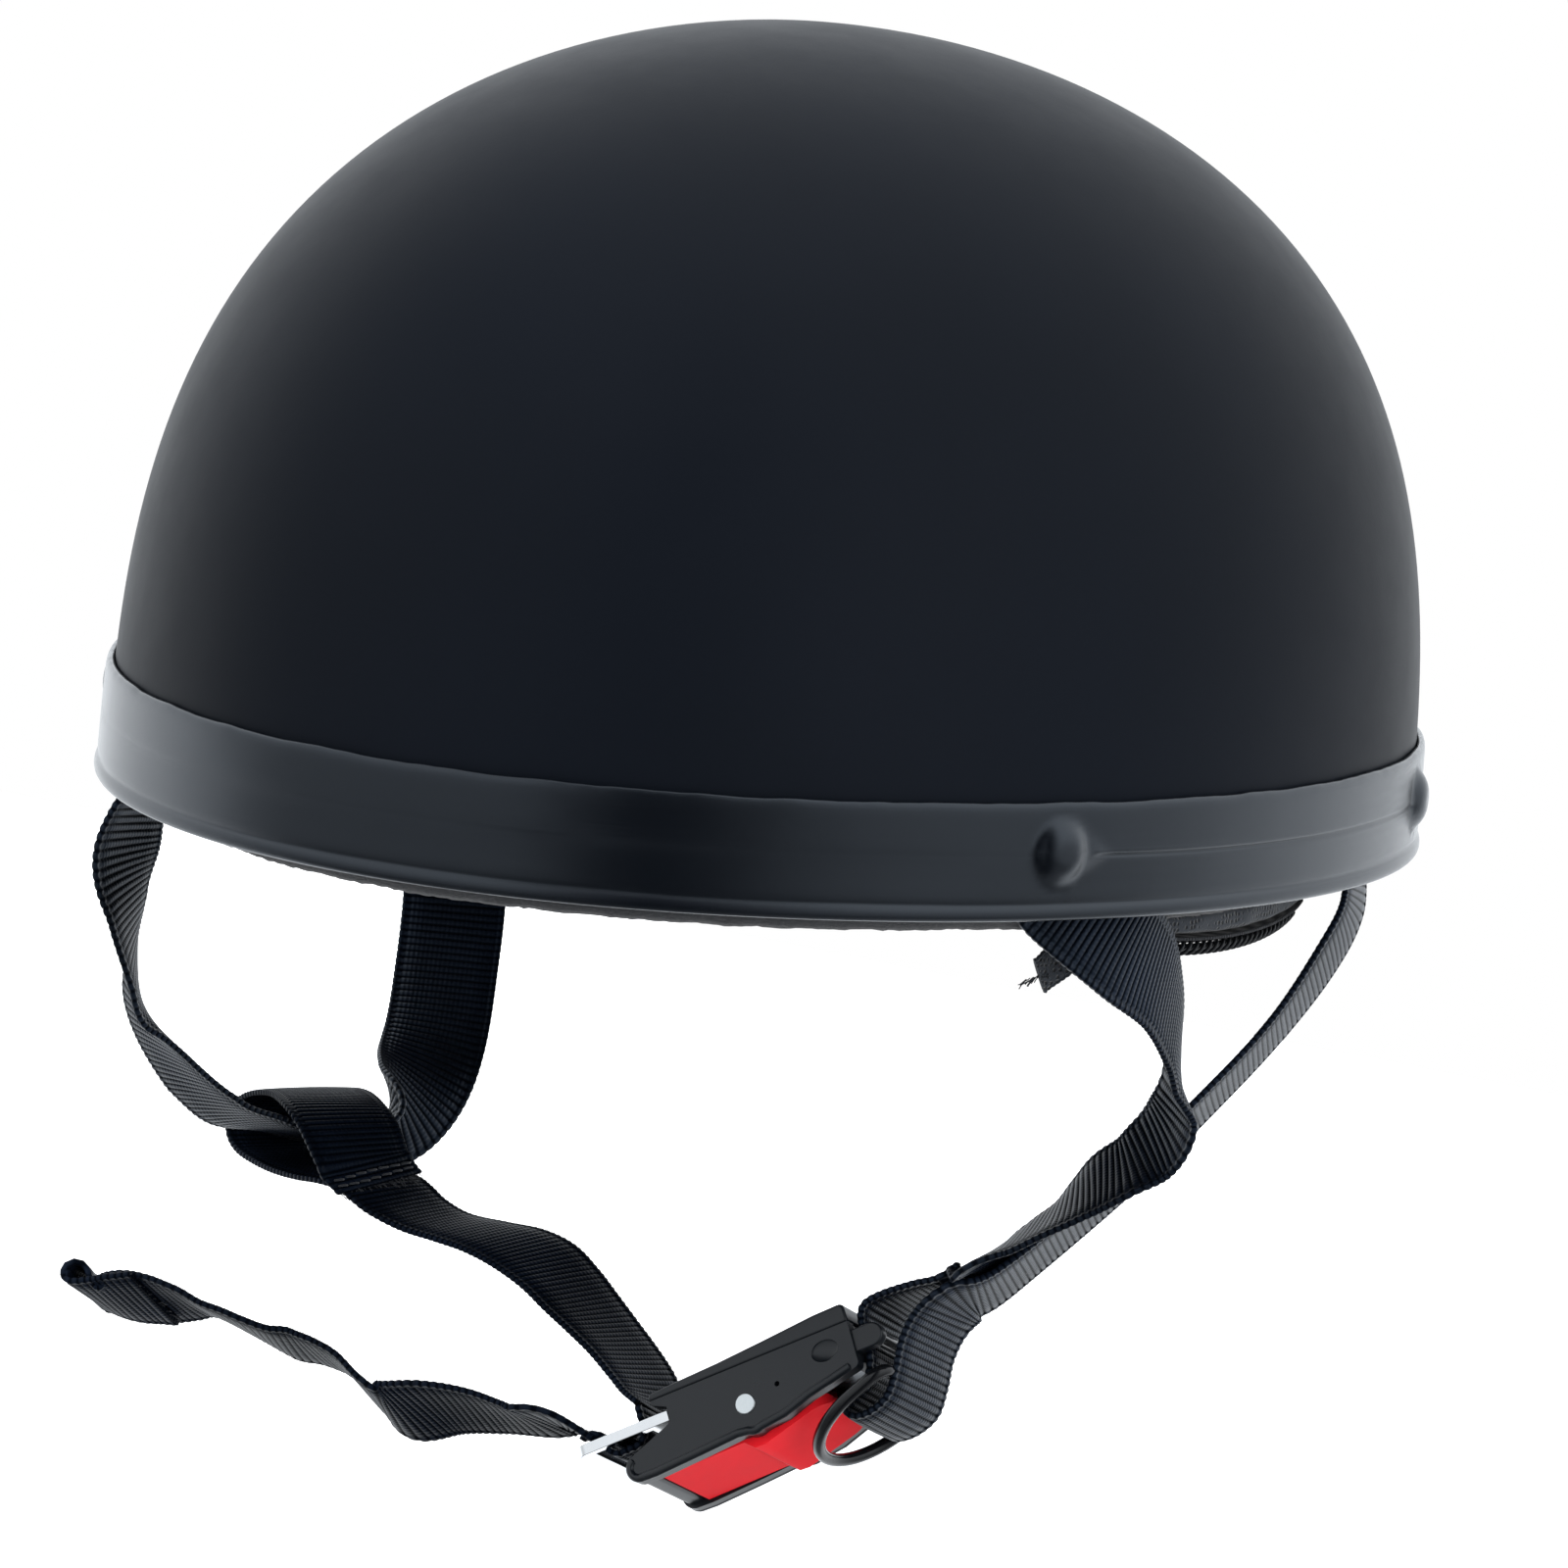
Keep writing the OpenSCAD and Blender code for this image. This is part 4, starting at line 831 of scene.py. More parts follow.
LEFT_REAR = [
    ((67, -7, -77), (-0.2, 0.9, -0.3)), ((81, 9, -58), (-0.3, 0.9, -0.35)),
    ((91, 21, -42), (-0.3, 0.9, -0.3)), ((97, 31, -30), (-0.3, 0.9, -0.3)),
    ((101, 40, -18), (-0.25, 0.9, -0.3)), ((102, 47, -9), (-0.25, 0.95, -0.2))]
left_route = (leg_top(-27, 43) + LEFT_FRONT + buckle_route(LEFT_LOOP) + LEFT_REAR
              + back_to_front(leg_top(24, -14)))

RIGHT_RUN = [
    ((-94, -61, -18), (0, 1, -0.1)), ((-94, -59, -31), (-0.3, 0.95, -0.1)),
    ((-94, -56, -41), (-0.5, 0.85, -0.15)), ((-95, -51, -50), (-0.6, 0.75, -0.25)),
    ((-93, -44, -59), (-0.65, 0.65, -0.35)), ((-90, -36, -67), (-0.6, 0.6, -0.4)),
    ((-87, -28, -72), (-0.55, 0.7, -0.4)), ((-83, -16, -75.5), (-0.8, 0.5, -0.2)),
    ((-80, -4, -77), (-0.6, 0.75, -0.3)), ((-77, 7, -77), (-0.2, 0.9, -0.35)),
    ((-78, 18, -72), (0.3, 0.9, -0.25)), ((-82, 30, -63), (0.8, 0.55, 0)),
    ((-87, 40, -51), (0.85, 0.5, 0.1)), ((-91, 47, -38), (0.8, 0.6, 0.1)),
    ((-96, 53, -22), (0.6, 0.8, 0.05)), ((-99, 56, -10), (0.45, 0.9, 0))]
right_route = (other_way(leg_top(207, 6)) + RIGHT_RUN + other_way(back_to_front(leg_top(156, -8))))

LOOP_WIDTH = (0.5, 0.85, 0)
CHIN_LOOP = [
    ((-59.4, -20.1, -80.9), (0.36, 0.93, 0)), ((-61.2, -21.3, -78.6), (0.38, 0.92, 0)),
    ((-62.6, -22.4, -76), (0.44, 0.9, 0)), ((-67, -21, -71), (0.56, 0.82, 0)),
    ((-73, -17.5, -68.5), (0.58, 0.8, 0)), ((-81, -10.5, -68.6), LOOP_WIDTH),
    ((-88, -6, -70.2), LOOP_WIDTH), ((-93.4, -3, -72.8), LOOP_WIDTH), ((-96.4, -1.6, -76.4), LOOP_WIDTH),
    ((-95.4, -2.8, -80), LOOP_WIDTH), ((-92, -4.6, -82.2), LOOP_WIDTH), ((-86, -7.5, -83), LOOP_WIDTH),
    ((-79, -11, -83), LOOP_WIDTH), ((-72, -14.3, -82.3), (0.45, 0.88, 0)),
    ((-66, -16.6, -81.4), (0.4, 0.92, 0))]
CHIN_RUN = [
    ((-61.5, -17.6, -81.4), (0.34, 0.94, 0)), ((-58, -18.2, -82.6), (0.3, 0.95, 0)),
    ((-53.8, -18.2, -84.6), (0.21, 0.98, 0)), ((-47.5, -18.2, -86.2), (0.14, 0.99, 0)),
    ((-40, -17.9, -86.6), (0.22, 0.97, 0.03)), ((-32.7, -17.4, -87.1), (0.32, 0.94, 0.07)),
    ((-26, -17.5, -88.7), (0.34, 0.93, 0.07)), ((-19.6, -18.3, -91.6), (0.26, 0.96, 0.02)),
    ((-14, -19.2, -95), (0.18, 0.98, 0)), ((-8.4, -20.1, -98.4), (0.18, 0.98, -0.08)),
    ((-3.2, -21, -101.6), (0.14, 0.98, -0.12)), ((2, -22.5, -105), (0.08, 0.98, -0.13)),
    ((5.7, -24, -108), (0.04, 0.97, -0.2))]
chin_route = CHIN_LOOP + CHIN_RUN + buckle_route([(-21.6, 9)])

TAIL_THREAD = [
    (-21.6, 9), (-21.6, 7), (-21.6, 5.6), (-21.9, 3.2), (-23.3, 1.9), (-25.5, 1.8), (-27.7, 1.9),
    (-29.2, 3.3), (-29.5, 5), (-30.2, 6.6), (-33, 7.8)]
TAIL_RUN = [
    ((-8, -33, -114), (-0.1, 0.9, -0.4)), ((-15, -33, -115), (-0.05, 0.9, -0.45)),
    ((-24, -34, -115), (0, 0.85, -0.55)), ((-33, -35, -116), (0.05, 0.8, -0.6)),
    ((-42, -35, -118.5), (0.05, 0.75, -0.65)), ((-47, -35, -117), (-0.15, 0.85, -0.55)),
    ((-53.8, -33.8, -113.4), (-0.38, 0.85, -0.36)), ((-57.0, -33.3, -112.3), (-0.27, 0.86, -0.43)),
    ((-59.7, -33.4, -111.6), (-0.15, 0.87, -0.47)), ((-63.9, -33.9, -111.0), (-0.05, 0.88, -0.48)),
    ((-68.5, -35.2, -110.7), (-0.07, 0.88, -0.47)), ((-73.6, -36.5, -109.4), (-0.15, 0.89, -0.43)),
    ((-77.8, -37.1, -108.3), (-0.23, 0.89, -0.39)), ((-82.2, -37.6, -107.3), (-0.19, 0.91, -0.37)),
    ((-87.0, -38.1, -106.2), (-0.13, 0.90, -0.43)), ((-91.4, -38.4, -106.4), (0.06, 0.85, -0.52)),
    ((-96.6, -38.6, -107.1), (0.18, 0.81, -0.56)), ((-103.6, -39.2, -108.3), (0.14, 0.84, -0.53)),
    ((-108.6, -40.3, -105), (-0.15, 0.9, -0.45)), ((-109.6, -41, -106.8), (-0.15, 0.9, -0.45)),
    ((-108, -41.8, -108.4), (-0.1, 0.9, -0.45)), ((-102.5, -41.3, -108.2), (0.09, 0.85, -0.52)),
    ((-97.7, -40.9, -107.3), (0.17, 0.82, -0.54)), ((-94.1, -40.6, -106.6), (0.18, 0.80, -0.57))]
tail_route = buckle_route(TAIL_THREAD) + TAIL_RUN

left_web = webbing("left_strap_webbing", left_route, rib=1.35, square=0.6)
dress(left_web, WEBBING, "helmet", "webbing", "left_strap")
right_web = webbing("right_strap_webbing", right_route)
dress(right_web, WEBBING, "helmet", "webbing", "right_strap")
tail_web = webbing("tail_strap_webbing", tail_route)
dress(tail_web, CHIN_WEBBING, "tongue", "webbing", "tail_strap")
chin_web = webbing("chin_strap_webbing", chin_route, rib=1.2, square=0.3)
coated(chin_web, CHIN_WEBBING)
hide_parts("chin_strap")
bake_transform(chin_web)


# Sewing: rows of short stitches that stand a little over the ribs, and threads frayed from an end

STITCH, STITCH_GAP, THREAD_RADIUS, LOOSE_RADIUS = 2.1, 0.5, 0.2, 0.09


def sewn(name, route, rows, body_name):
    """Rows of stitches across a strap, near given places of its route, on the side that is seen."""
    _, centre, across, up = even(route, 0.5, 0.3)
    made = []
    for row, near in enumerate(rows):
        k = int(np.argmin(np.linalg.norm(centre - np.array(near), axis=1)))
        face = up[k] * np.sign(up[k] @ np.array(CAMERA_BACK))
        run = np.cross(up[k], across[k])
        first = -WEB_WIDTH / 2 + 0.9 + 0.35 * (row % 2)
        starts = np.arange(first, WEB_WIDTH / 2 - STITCH, STITCH + STITCH_GAP)
        for n, start in enumerate(starts):
            lean = 0.16 * math.sin(7.1 * n + 2.3 * row)
            path = [centre[k] + face * (WEB_THICK / 2 - 0.1 + 0.24 * math.sin(math.pi * t))
                    + across[k] * (start + STITCH * t) + run * (lean + 0.2 * (t - 0.5))
                    for t in (0, 0.2, 0.5, 0.8, 1)]
            made.append(tube("stitch", path, THREAD_RADIUS, face, sides=6))
    dress(joined(name, made), THREAD, body_name, "webbing")


def frayed(name, route, count, body_name, seed, width=WEB_WIDTH, reach=2.2):
    """Loose warp threads at a route's first end."""
    _, centre, across, up = even(route, 0.5, 0.3)
    rng = np.random.default_rng(seed)
    out = centre[0] - centre[3]
    out /= np.linalg.norm(out)
    made = []
    for _ in range(count):
        start = (rng.random() - 0.5) * (width - 0.8)
        far = reach * (0.3 + 0.7 * rng.random() ** 2)
        bend = (rng.random(2) - 0.5) * 1.4
        root = centre[0] - out * 0.6 + across[0] * start + up[0] * (rng.random() - 0.5) * 0.8
        path = [root + out * (0.6 + far) * t + (across[0] * bend[0] + up[0] * bend[1]) * t * t
                for t in (0, 0.3, 0.6, 0.85, 1)]
        made.append(tube("loose thread", path, LOOSE_RADIUS, up[0] + across[0] * 0.01, sides=5))
    dress(joined(name, made), THREAD, body_name, "webbing")


sewn("chin_loop_stitches", chin_route, [(-60.3, -20.7, -79.7), (-61.2, -21.3, -78.6)], "helmet")
frayed("chin_loop_frays", chin_route, 34, "helmet", 7)
sewn("strap_loop_stitches", left_route, [on_buckle(42.5, 0, 10.2), on_buckle(40, 0, 9.9)], "helmet")
frayed("tail_frays", back_to_front(tail_route), 16, "tongue", 3, reach=1.3)


# Folded end of the mesh lining, beside the front left leg

tab_route = [
    ((90.5, -38.5, -6), (0.4, 0.9, 0.1)), ((90.5, -41, -9), (0.35, 0.9, 0.2)),
    ((88.5, -46, -13), (0.3, 0.9, 0.35))]
tab = webbing("strap_tab_mesh", tab_route, width=8.0, thick=0.8, rib=1.0)
frayed("strap_tab_frays", back_to_front(tab_route), 22, "helmet", 11, width=8.0)
dress(tab, SPACER_MESH, "helmet", "mesh_fabric", "strap_tab")


# Ear pad: a closed cushion of spacer mesh under the felt, drawn in at both ends

PAD_FROM, PAD_TO, PAD_DEPTH, PAD_DROP, PAD_WALL, SOFT_GAP = -13.0, 19.0, 14.8, 4.6, 14.0, 0.3


def pad_angle(share):
    """Angle round the helmet at a share of the pad's length."""
    return PAD_FROM + (PAD_TO - PAD_FROM) * share


def fullness(share):
    """How full the pad is at a share of its length: it draws in at both ends."""
    return 0.35 + 0.65 * np.maximum(np.sin(np.pi * np.clip(share, 0, 1)), 0) ** 0.6


def pad_low(share):
    """Height of the pad's foot."""
    return -FELT_DROP - SOFT_GAP - PAD_DROP * fullness(share)


def pad_face(share):
    """Depth of the pad's outer face."""
    return PAD_DEPTH + 1.6 * (1 - fullness(share))


def cushion(name):
    """A ball drawn out along the pad, with a nearly square section that swells at its sides."""
    piece = primitive(name, bpy.ops.mesh.primitive_uv_sphere_add, segments=72, ring_count=96, radius=1.0)
    co = places_of(piece)
    share = np.arccos(np.clip(-co[:, 2], -1, 1)) / math.pi
    turn_round = np.arctan2(co[:, 1], co[:, 0])
    end = np.clip(np.sin(share * math.pi) * 5.0, 0, 1) ** 0.5
    c, s = np.cos(turn_round), np.sin(turn_round)
    c, s = np.sign(c) * np.abs(c) ** 0.45, np.sign(s) * np.abs(s) ** 0.5
    top = -FELT_DROP - SOFT_GAP
    low, face = pad_low(share), pad_face(share)
    back = face + PAD_WALL * fullness(share)
    z = (top + low) / 2 + (top - low) / 2 * s * end
    depth = (face + back) / 2 - (back - face) / 2 * c * end
    place = wall(pad_angle(share), z, depth)
    place += outward(pad_angle(share)) * (0.16 * ripple(place, 11.0) * (c > 0.4))[:, None]
    placed(piece, place)
    closed(piece)
    return piece


pad = cushion("ear_pad_cushion")
smooth(pad)
dress(pad, SPACER_MESH, "helmet", "mesh_fabric", "ear_pad")


# Coil zip along the pad's foot: its woven tape, then slanted loops of filament

TAPE_THICK, TAPE_WIDTH, TAPE_RIB = 0.6, 5.0, 0.9
tape_route = [(wall(np.array(pad_angle(share)), pad_low(share) - SOFT_GAP - TAPE_THICK / 2,
                    pad_face(share) + TAPE_WIDTH / 2), outward(np.array(pad_angle(share))))
              for share in np.linspace(0.03, 0.97, 16)]
tape = webbing("zip_tape_weave", tape_route, width=TAPE_WIDTH, thick=TAPE_THICK, rib=TAPE_RIB, cup=0.0)
dress(tape, ZIP_TAPE, "helmet", "zip_tape_fabric", "zip_tape")

ZIP_TURNS, ZIP_RADIUS, ZIP_WIRE, TURN_STEPS = 28, 1.1, 0.34, 18
turns = np.linspace(0, ZIP_TURNS, ZIP_TURNS * TURN_STEPS + 1)
coil_share = 0.05 + 0.9 * turns / ZIP_TURNS
zip_angle = pad_angle(coil_share)
axis_drop = SOFT_GAP + TAPE_THICK + 0.2 + ZIP_RADIUS + ZIP_WIRE
coil_axis = wall(zip_angle, pad_low(coil_share) - axis_drop, pad_face(coil_share) + 2.4)
round_about = 2 * math.pi * turns
coil_path = (coil_axis + outward(zip_angle) * (ZIP_RADIUS * np.cos(round_about))[:, None]
             + np.array([0, 0, 1.0]) * (ZIP_RADIUS * np.sin(round_about))[:, None]
             + along(zip_angle) * (0.75 * np.sin(round_about))[:, None])
coil = joined("zip_coil_filament", [
    tube("coil", coil_path, ZIP_WIRE, along(np.array(1.0)), sides=8),
    # The cord that a coil is sewn over, which fills its middle
    tube("core cord", coil_axis[::TURN_STEPS // 2], 0.66, np.array([0, 0, 1.0]), sides=10)])
dress(coil, FILAMENT, "helmet", "zip_filament", "zip_coil")


# Buckle: moulded cheeks, cover and cross pieces, in the buckle's own axes

def to_buckle(piece):
    """Turns places in mm, given in the buckle's axes, to their place on the helmet."""
    co = places_of(piece) / MM
    placed(piece, BUCKLE_AT + co[:, :1] * BUCKLE_X + co[:, 1:2] * BUCKLE_Y + co[:, 2:] * BUCKLE_Z)


def arc(centre, radius, start, stop, count):
    """Points on an arc, between two angles in degrees."""
    a = np.radians(np.linspace(start, stop, count + 1))
    return [(centre[0] + radius * math.cos(k), centre[1] + radius * math.sin(k)) for k in a]


def plate(name, outline, start, thick, rounding, segments=4):
    """A flat moulding: a disc drawn to an outline in the X-Z plane, extruded along Y and rounded."""
    outline = np.array(outline, float)
    piece = primitive(name, bpy.ops.mesh.primitive_circle_add, vertices=len(outline), radius=1.0,
                      fill_type="NGON")
    placed(piece, np.stack([outline[:, 0], np.full(len(outline), start), outline[:, 1]], 1))
    only(piece)
    bpy.ops.object.mode_set(mode="EDIT")
    bpy.ops.mesh.select_all(action="SELECT")
    bpy.ops.mesh.extrude_region_move(TRANSFORM_OT_translate={"value": (0, thick * MM, 0)})
    bpy.ops.mesh.select_all(action="SELECT")
    bpy.ops.mesh.normals_make_consistent(inside=False)
    bpy.ops.object.mode_set(mode="OBJECT")
    apply(piece, "BEVEL", width=rounding * MM, segments=segments, limit_method="ANGLE",
          angle_limit=math.radians(30.0), use_clamp_overlap=True)
    return piece


def block(name, low, high, rounding):
    """A rounded bar between two corners."""
    outline = [(low[0], low[2]), (high[0], low[2]), (high[0], high[2]), (low[0], high[2])]
    return plate(name, outline, low[1], high[1] - low[1], rounding, 3)


def cut(piece, tool):
    """Takes the tool's volume out of a piece, and the tool away."""
    apply(piece, "BOOLEAN", operation="DIFFERENCE", object=tool, solver="EXACT")
    bpy.data.objects.remove(tool)


def shaded(piece):
    """Smooth faces between rounded edges, as on a moulding."""
    smooth(piece, 32.0)
    apply(piece, "WEIGHTED_NORMAL", keep_sharp=True, weight=80)


BODY_TOP, CHEEK_IN, BUCKLE_HALF = 7.4, 10.4, 13.0
CHEEK = (arc((-22.9, -3.6), 2.6, 115, 262, 14) + [(-20, -6.3), (-10.5, -5.8), (-3, -5.3)]
         + arc((0.6, -2.9), 3.1, 236, 300, 8) + [(6.8, -5.1), (12.2, -3.4), (17.5, -2.3), (21.4, -1.6)]
         + arc((21.7, -0.4), 1.1, 280, 360, 6) + [(22.8, BODY_TOP), (-17.6, BODY_TOP)]
         + arc((-17, 7), 0.7, 150, 250, 5) + [(-14.9, 5.3), (-14.9, 2.4), (-16, 1.8)])
RIM = (arc((-22.9, -3.6), 1.9, 120, 262, 14) + [(-20, -5.6), (-10.5, -5.1), (-3, -4.6)]
       + arc((0.6, -2.9), 2.4, 236, 300, 6) + [(6.8, -4.4), (12.2, -2.7), (17.5, -1.6), (21, -0.8)])
COVER = ([(-17.9, BODY_TOP)] + arc((-17.2, 8.1), 0.8, 190, 95, 6)
         + [(-11.6, 9.2), (-3.6, 9.5), (5.2, 10.1), (16.6, 11)] + arc((21.7, 10), 1.1, 95, 0, 8)
         + [(22.8, BODY_TOP)])
# The pin hole's radius and place, the snap dish's half size and place, and the bead's radius
HOLE_RADIUS, HOLE_X, HOLE_Z = 0.5, 6.8, 1.3
DISH_HALF, DISH_X, DISH_Z = (2.7, 0.5, 2.0), 17.2, 3.7
BEAD_RADIUS = 0.8

cheeks = []
for start, face in [(-BUCKLE_HALF, -BUCKLE_HALF), (CHEEK_IN, BUCKLE_HALF)]:
    cheek = plate("cheek", CHEEK, start, BUCKLE_HALF - CHEEK_IN, 0.7)
    # A pin hole of 1 mm and the shallow dish over a moulded snap, in the outer face
    hole = primitive("pin hole", bpy.ops.mesh.primitive_cylinder_add, vertices=32, radius=HOLE_RADIUS * MM,
                     depth=3 * MM, location=(HOLE_X * MM, face * MM, HOLE_Z * MM),
                     rotation=(math.pi / 2, 0, 0))
    bpy.ops.object.transform_apply(location=True, rotation=True, scale=True)
    cut(cheek, hole)
    dish = primitive("snap dish", bpy.ops.mesh.primitive_uv_sphere_add, segments=40, ring_count=20,
                     radius=MM, location=(DISH_X * MM, face * MM, DISH_Z * MM))
    dish.scale = DISH_HALF
    bpy.ops.object.transform_apply(location=True, rotation=True, scale=True)
    cut(cheek, dish)
    cheeks.append(cheek)
    # A moulded bead runs round the nose and along the lower edge
    bead = [(x, face - 0.25 * np.sign(face), z) for x, z in RIM]
    cheeks.append(tube("rim bead", bead, BEAD_RADIUS, (0, 1, 0), sides=16))
# What joins the cheeks and reaches into them: name, span in X, span in Z and rounding
CROSS_HALF = 11.6
CROSS_PIECES = [
    ("deck", (-13.5, 22.6), (5.3, 7.39), 0.35), ("back wall", (20.2, 22.75), (0.2, 6.9), 0.35),
    ("tongue guide", (-14, -7), (1.2, 2.6), 0.35), ("front bar", (-24.6, -21.2), (-5.3, -2.5), 0.9)]
for name, x, z, rounding in CROSS_PIECES:
    cheeks.append(block(name, (x[0], -CROSS_HALF, z[0]), (x[1], CROSS_HALF, z[1]), rounding))
for start in (-12.45, 10.2):
    cheeks.append(plate("bar ear", [(21.8, 1.4), (26.3, 1.4)] + arc((26.3, 3.6), 2.2, -80, 80, 10)
                        + [(26.3, 5.8), (21.8, 5.8)], start, 2.25, 0.35, 3))
body = joined("buckle_body_moulding", cheeks)
to_buckle(body)
shaded(body)
dress(body, BLACK_NYLON, "helmet", "buckle_plastic", "buckle_body")

cover = plate("buckle_cover_moulding", COVER, -BUCKLE_HALF, 2 * BUCKLE_HALF, 0.75, 4)
to_buckle(cover)
shaded(cover)
dress(cover, BLACK_NYLON, "helmet", "buckle_plastic", "buckle_cover")


RING_WIRE, RING_HALF, RING_DEPTH, CORNER = 1.2, 12.8, 20.6, 3.0
# The ring's axis in the buckle's X and Z, and how far it hangs below the buckle's line, in degrees
RING_X, RING_Z, RING_REST = 26.9, -3.4, 20.0


def ring_point(x, y):
    """A point in the resting ring's plane, x from the ring's axis and y along it."""
    c, s = math.cos(math.radians(RING_REST)), math.sin(math.radians(RING_REST))
    return on_buckle(RING_X + x * c, y, RING_Z + x * s)


leg = RING_DEPTH - RING_HALF
ring_path = ([(0, y) for y in np.linspace(CORNER - RING_HALF, RING_HALF - CORNER, 20)]
             + [(-CORNER + x, RING_HALF - CORNER + y) for x, y in arc((0, 0), CORNER, 0, 90, 12)[1:]]
             + [(-x, RING_HALF) for x in np.linspace(CORNER, leg, 6)[1:]]
             + [(-leg + x, y) for x, y in arc((0, 0), RING_HALF, 90, 270, 64)[1:]]
             + [(-x, -RING_HALF) for x in np.linspace(leg, CORNER, 6)[1:]]
             + [(-CORNER + x, CORNER - RING_HALF + y) for x, y in arc((0, 0), CORNER, -90, 0, 12)[1:-1]])
plane = np.cross(ring_point(1, 0) - ring_point(0, 0), ring_point(0, 1) - ring_point(0, 0))
ring = tube("d_ring_wire", [ring_point(x, y) for x, y in ring_path], RING_WIRE, plane, sides=20, loop=True)
dress(ring, LACQUER, "ring", "ring_enamel", "d_ring")


# Other hardware: softened copies of the solids

def softened(node, name, radius):
    """A copy of a solid whose loose triangles are merged and whose sharp edges are rounded."""
    piece = bpy.data.objects.new(name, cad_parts[node].data.copy())
    bpy.context.scene.collection.objects.link(piece)
    only(piece)
    bpy.ops.object.mode_set(mode="EDIT")
    bpy.ops.mesh.select_all(action="SELECT")
    bpy.ops.mesh.remove_doubles(threshold=2e-6)
    bpy.ops.mesh.dissolve_limited(angle_limit=math.radians(1.5))
    bpy.ops.object.mode_set(mode="OBJECT")
    apply(piece, "BEVEL", width=radius * MM, segments=3, limit_method="ANGLE",
          angle_limit=math.radians(28.0), use_clamp_overlap=True, miter_outer="MITER_ARC")
    shaded(piece)
    return piece


HARDWARE = [
    ("buckle_pin", "buckle_pin_head", 0.25, ZINC, "helmet", "pin_zinc"),
    ("release_lever", "release_lever_moulding", 0.4, RED_NYLON, "lever", "lever_plastic"),
    ("tongue_plate", "tongue_plate_stamping", 0.35, CHROME, "tongue", "tongue_chrome"),
]
for node, name, radius, material, body_name, slot in HARDWARE:
    dress(softened(node, name, radius), material, body_name, slot, node)

for node, material in [("foam_liner", BEAD_FOAM), ("rivets", RIVET_STEEL),
                       ("rivet_washers", ZINC), ("catch_spring", SPRING_STEEL), ("strap_bar", LACQUER)]:
    coated(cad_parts[node], material)


# Studio: a pale floor, a white surround with two screens for reflections, and three soft boxes

def studio_white(name, lit, shown):
    """A pale matt surface that shows as white to the camera and in reflections, and keeps a shadow."""
    made = bpy.data.materials.new(name)
    made.use_nodes = True
    tree = made.node_tree
    tree.nodes.clear()
    grain = add(tree, "TexNoise", {"Scale": 30.0})
    tone = add(tree, "Mix", {"data_type": "RGBA", 6: linear("#e3e4e5"), 7: linear("#e8e9ea")},
               {0: grain.outputs["Fac"]})
    matt = add(tree, "BsdfDiffuse", None, {"Color": tone.outputs[2]})
    ray = add(tree, "LightPath")
    level = add(tree, "Math", {"operation": "MULTIPLY_ADD", 1: shown - lit, 2: lit},
                {0: ray.outputs["Is Camera Ray"]})
    glow = add(tree, "Emission", {"Color": (1, 1, 1, 1)}, {"Strength": level.outputs[0]})
    both = add(tree, "AddShader", None, {0: matt.outputs[0], 1: glow.outputs[0]})
    seen = add(tree, "Math", {"operation": "MAXIMUM"},
               {0: ray.outputs["Is Camera Ray"], 1: ray.outputs["Is Glossy Ray"]})
    seen = add(tree, "Math", {"operation": "MAXIMUM"},
               {0: seen.outputs[0], 1: ray.outputs["Is Transmission Ray"]})
    mix = add(tree, "MixShader", None, {0: seen.outputs[0], 1: matt.outputs[0], 2: both.outputs[0]})
    add(tree, "OutputMaterial", None, {"Surface": mix.outputs[0]})
    return made


FLOOR_SIDE, FLOOR_HEIGHT = 1200, -150.0
floor = primitive("studio_floor", bpy.ops.mesh.primitive_grid_add, x_subdivisions=8, y_subdivisions=8,
                  size=1.0)
placed(floor, places_of(floor) * [FLOOR_SIDE, FLOOR_SIDE, 0] + [0, 0, FLOOR_HEIGHT])
floor.data.materials.append(studio_white("pale_studio_floor", 0.3, 0.72))
floor.visible_glossy = False

world = bpy.data.worlds.new("studio")
bpy.context.scene.world = world
world.use_nodes = True
tree = world.node_tree
tree.nodes.clear()
ray = add(tree, "LightPath")
white = add(tree, "Background", {"Color": (1.0, 1.0, 1.0, 1.0), "Strength": 1.0})
place = add(tree, "TexCoord").outputs["Generated"]
axes = add(tree, "SeparateXYZ", None, {"Vector": place})
# The room's own light comes more from above than from below
daylight = add(tree, "MapRange", {"From Min": -0.4, "From Max": 0.7, "To Min": 0.05, "To Max": 0.95},
               {"Value": axes.outputs["Z"]})
fill = add(tree, "Background", {"Color": (0.95, 0.97, 1.0, 1.0)}, {"Strength": daylight.outputs["Result"]})
# Reflections show the white surround behind the helmet, and before it two pale screens, left
# and right, brighter towards their tops, with a dark gap between them at the camera
azimuth = add(tree, "Math", {"operation": "ARCTAN2"}, {0: axes.outputs["Y"], 1: axes.outputs["X"]})
left = add(tree, "MapRange", {"From Min": math.radians(-73.0), "From Max": math.radians(-63.0),
                              "To Min": 0.53, "To Max": 0.0}, {"Value": azimuth.outputs[0]})
right = add(tree, "MapRange", {"From Min": math.radians(-43.0), "From Max": math.radians(-14.0),
                               "To Min": 0.0, "To Max": 0.71}, {"Value": azimuth.outputs[0]})
screens = add(tree, "Math", {"operation": "ADD"}, {0: left.outputs["Result"], 1: right.outputs["Result"]})
taller = add(tree, "MapRange", {"From Min": -0.45, "From Max": 0.5, "To Min": 0.45, "To Max": 1.95},
             {"Value": axes.outputs["Z"]})
screens = add(tree, "Math", {"operation": "MULTIPLY"}, {0: screens.outputs[0], 1: taller.outputs["Result"]})
towards = add(tree, "VectorMath", {"operation": "DOT_PRODUCT", 1: tuple(-c for c in CAMERA_BACK)}, {0: place})
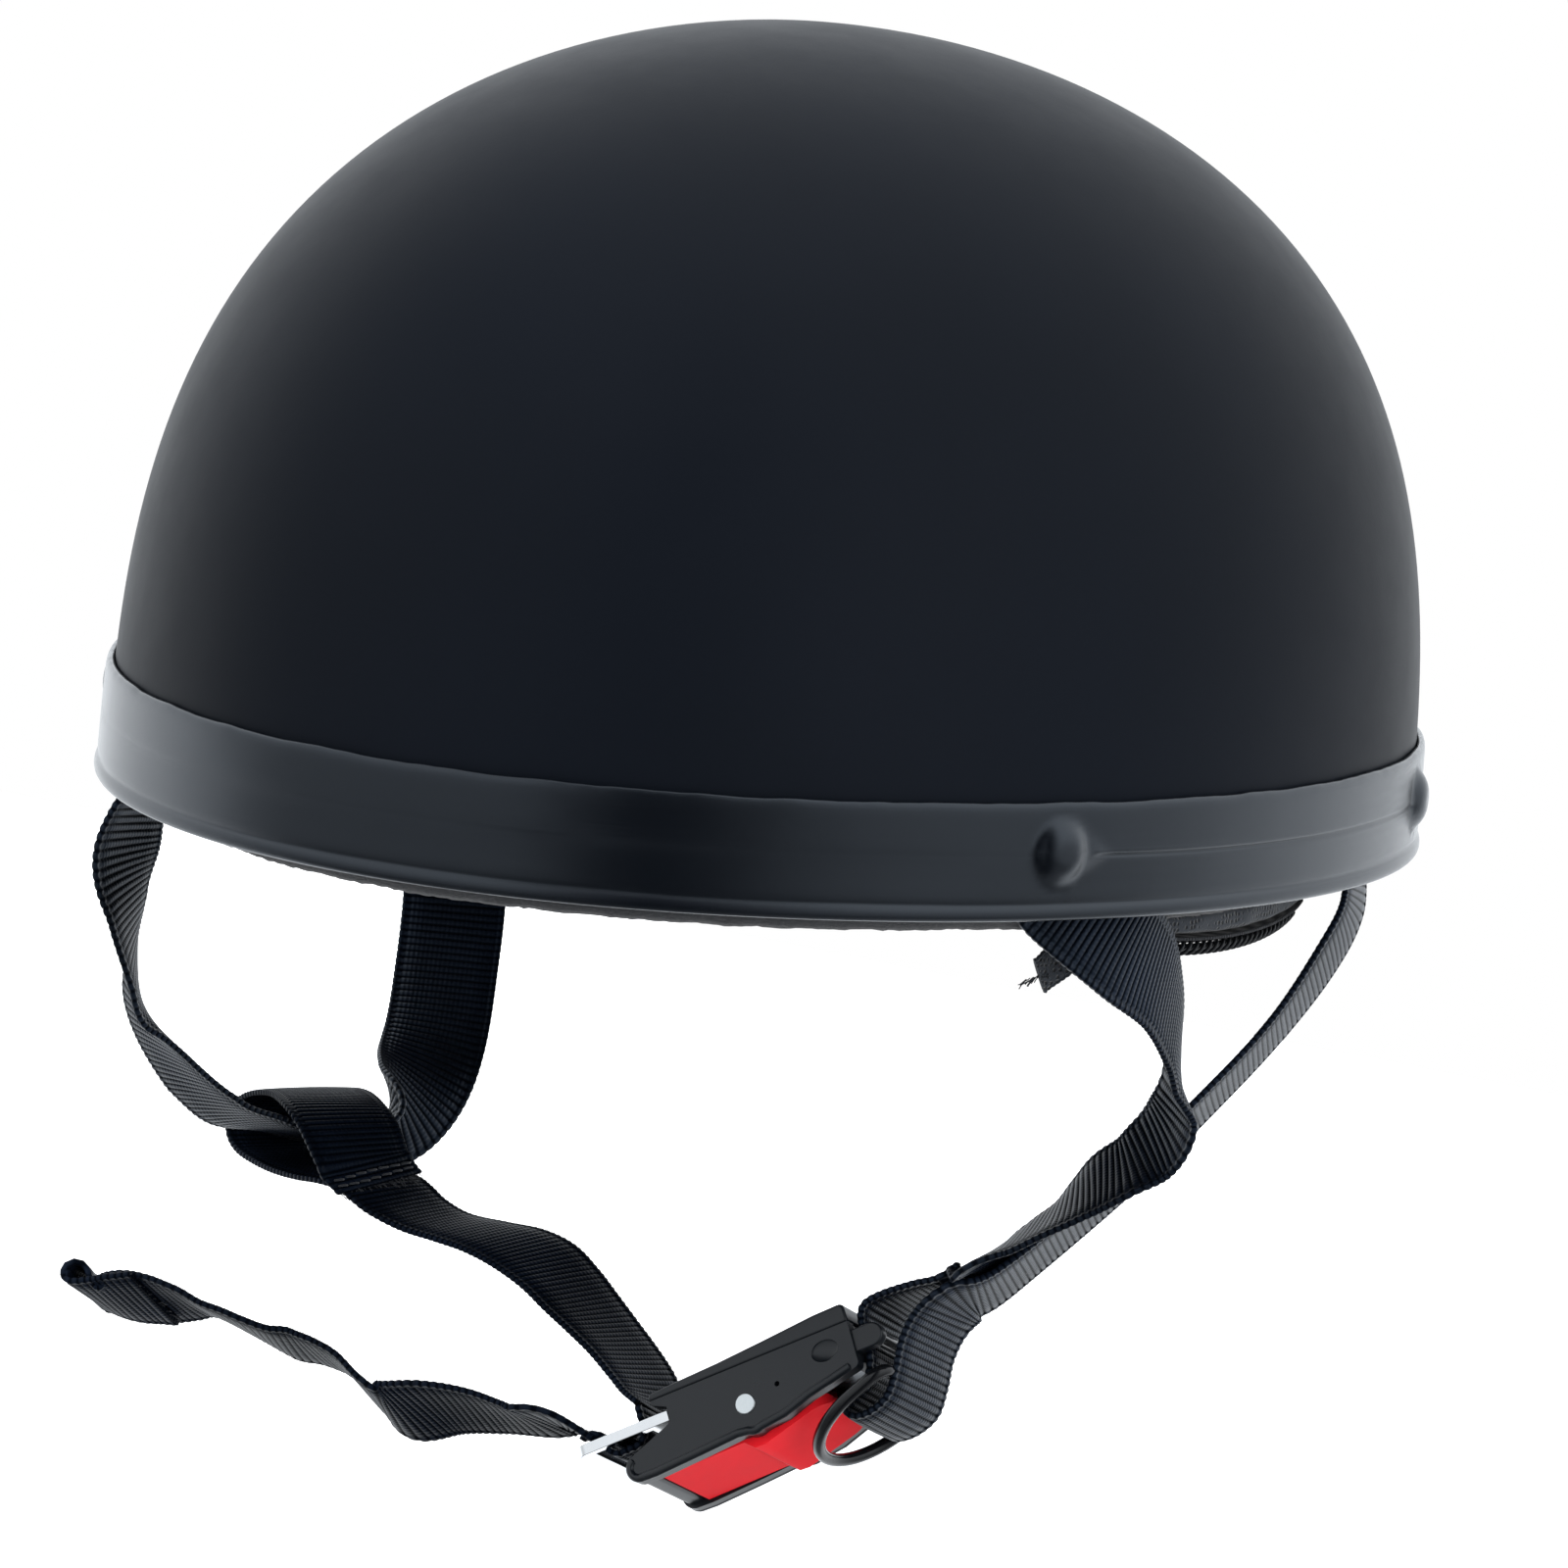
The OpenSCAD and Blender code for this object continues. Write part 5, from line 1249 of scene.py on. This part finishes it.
behind = add(tree, "MapRange", {"interpolation_type": "SMOOTHSTEP", "From Min": -0.12, "From Max": 0.48,
                                "To Min": 0.0, "To Max": 1.0}, {"Value": towards.outputs["Value"]})
# Straight under the helmet nothing pale lies: faces that look steeply down stay dark
low = add(tree, "MapRange", {"From Min": -0.93, "From Max": -0.8}, {"Value": axes.outputs["Z"]})
behind = add(tree, "Math", {"operation": "MULTIPLY"},
             {0: behind.outputs["Result"], 1: low.outputs["Result"]})
level = add(tree, "Mix", {"data_type": "FLOAT", 3: 1.4}, {0: behind.outputs[0], 2: screens.outputs[0]})
mirrored = add(tree, "Background", {"Color": (0.92, 0.96, 1.0, 1.0)}, {"Strength": level.outputs[0]})
shown = add(tree, "Math", {"operation": "MAXIMUM"},
            {0: ray.outputs["Is Camera Ray"], 1: ray.outputs["Is Transmission Ray"]})
mix = add(tree, "MixShader", None,
          {0: ray.outputs["Is Glossy Ray"], 1: fill.outputs[0], 2: mirrored.outputs[0]})
mix = add(tree, "MixShader", None, {0: shown.outputs[0], 1: mix.outputs[0], 2: white.outputs[0]})
add(tree, "OutputWorld", None, {"Surface": mix.outputs[0]})


LAMP_DISTANCE = 1.7


def soft_box(name, azimuth, elevation, wide, high, power):
    """A rectangular lamp turned to the helmet: angles in degrees, sides in metres, power in watts."""
    data = bpy.data.lights.new(name, "AREA")
    data.shape = "RECTANGLE"
    data.size, data.size_y = wide, high
    data.energy = power
    lamp = bpy.data.objects.new(name, data)
    bpy.context.scene.collection.objects.link(lamp)
    a, e = math.radians(azimuth), math.radians(elevation)
    back = Matrix.Rotation(a, 3, "Z") @ Matrix.Rotation(-e, 3, "Y")
    direction = back @ Matrix.Identity(3).col[0]
    side = Matrix.Rotation(a, 3, "Z").col[1]
    up = direction.cross(side)
    turned = Matrix((side, up, direction)).transposed().to_4x4()
    lamp.matrix_world = Matrix.Translation(direction * LAMP_DISTANCE) @ turned
    lamp.visible_glossy = False


soft_box("left_soft_box", -128, 18, 1.3, 1.5, 12)
soft_box("right_soft_box", -20, 10, 1.3, 1.5, 19)
soft_box("top_soft_box", -60, 84, 1.4, 1.4, 32)

bpy.context.scene.view_settings.view_transform = "Standard"

bpy.ops.object.select_all(action="DESELECT")
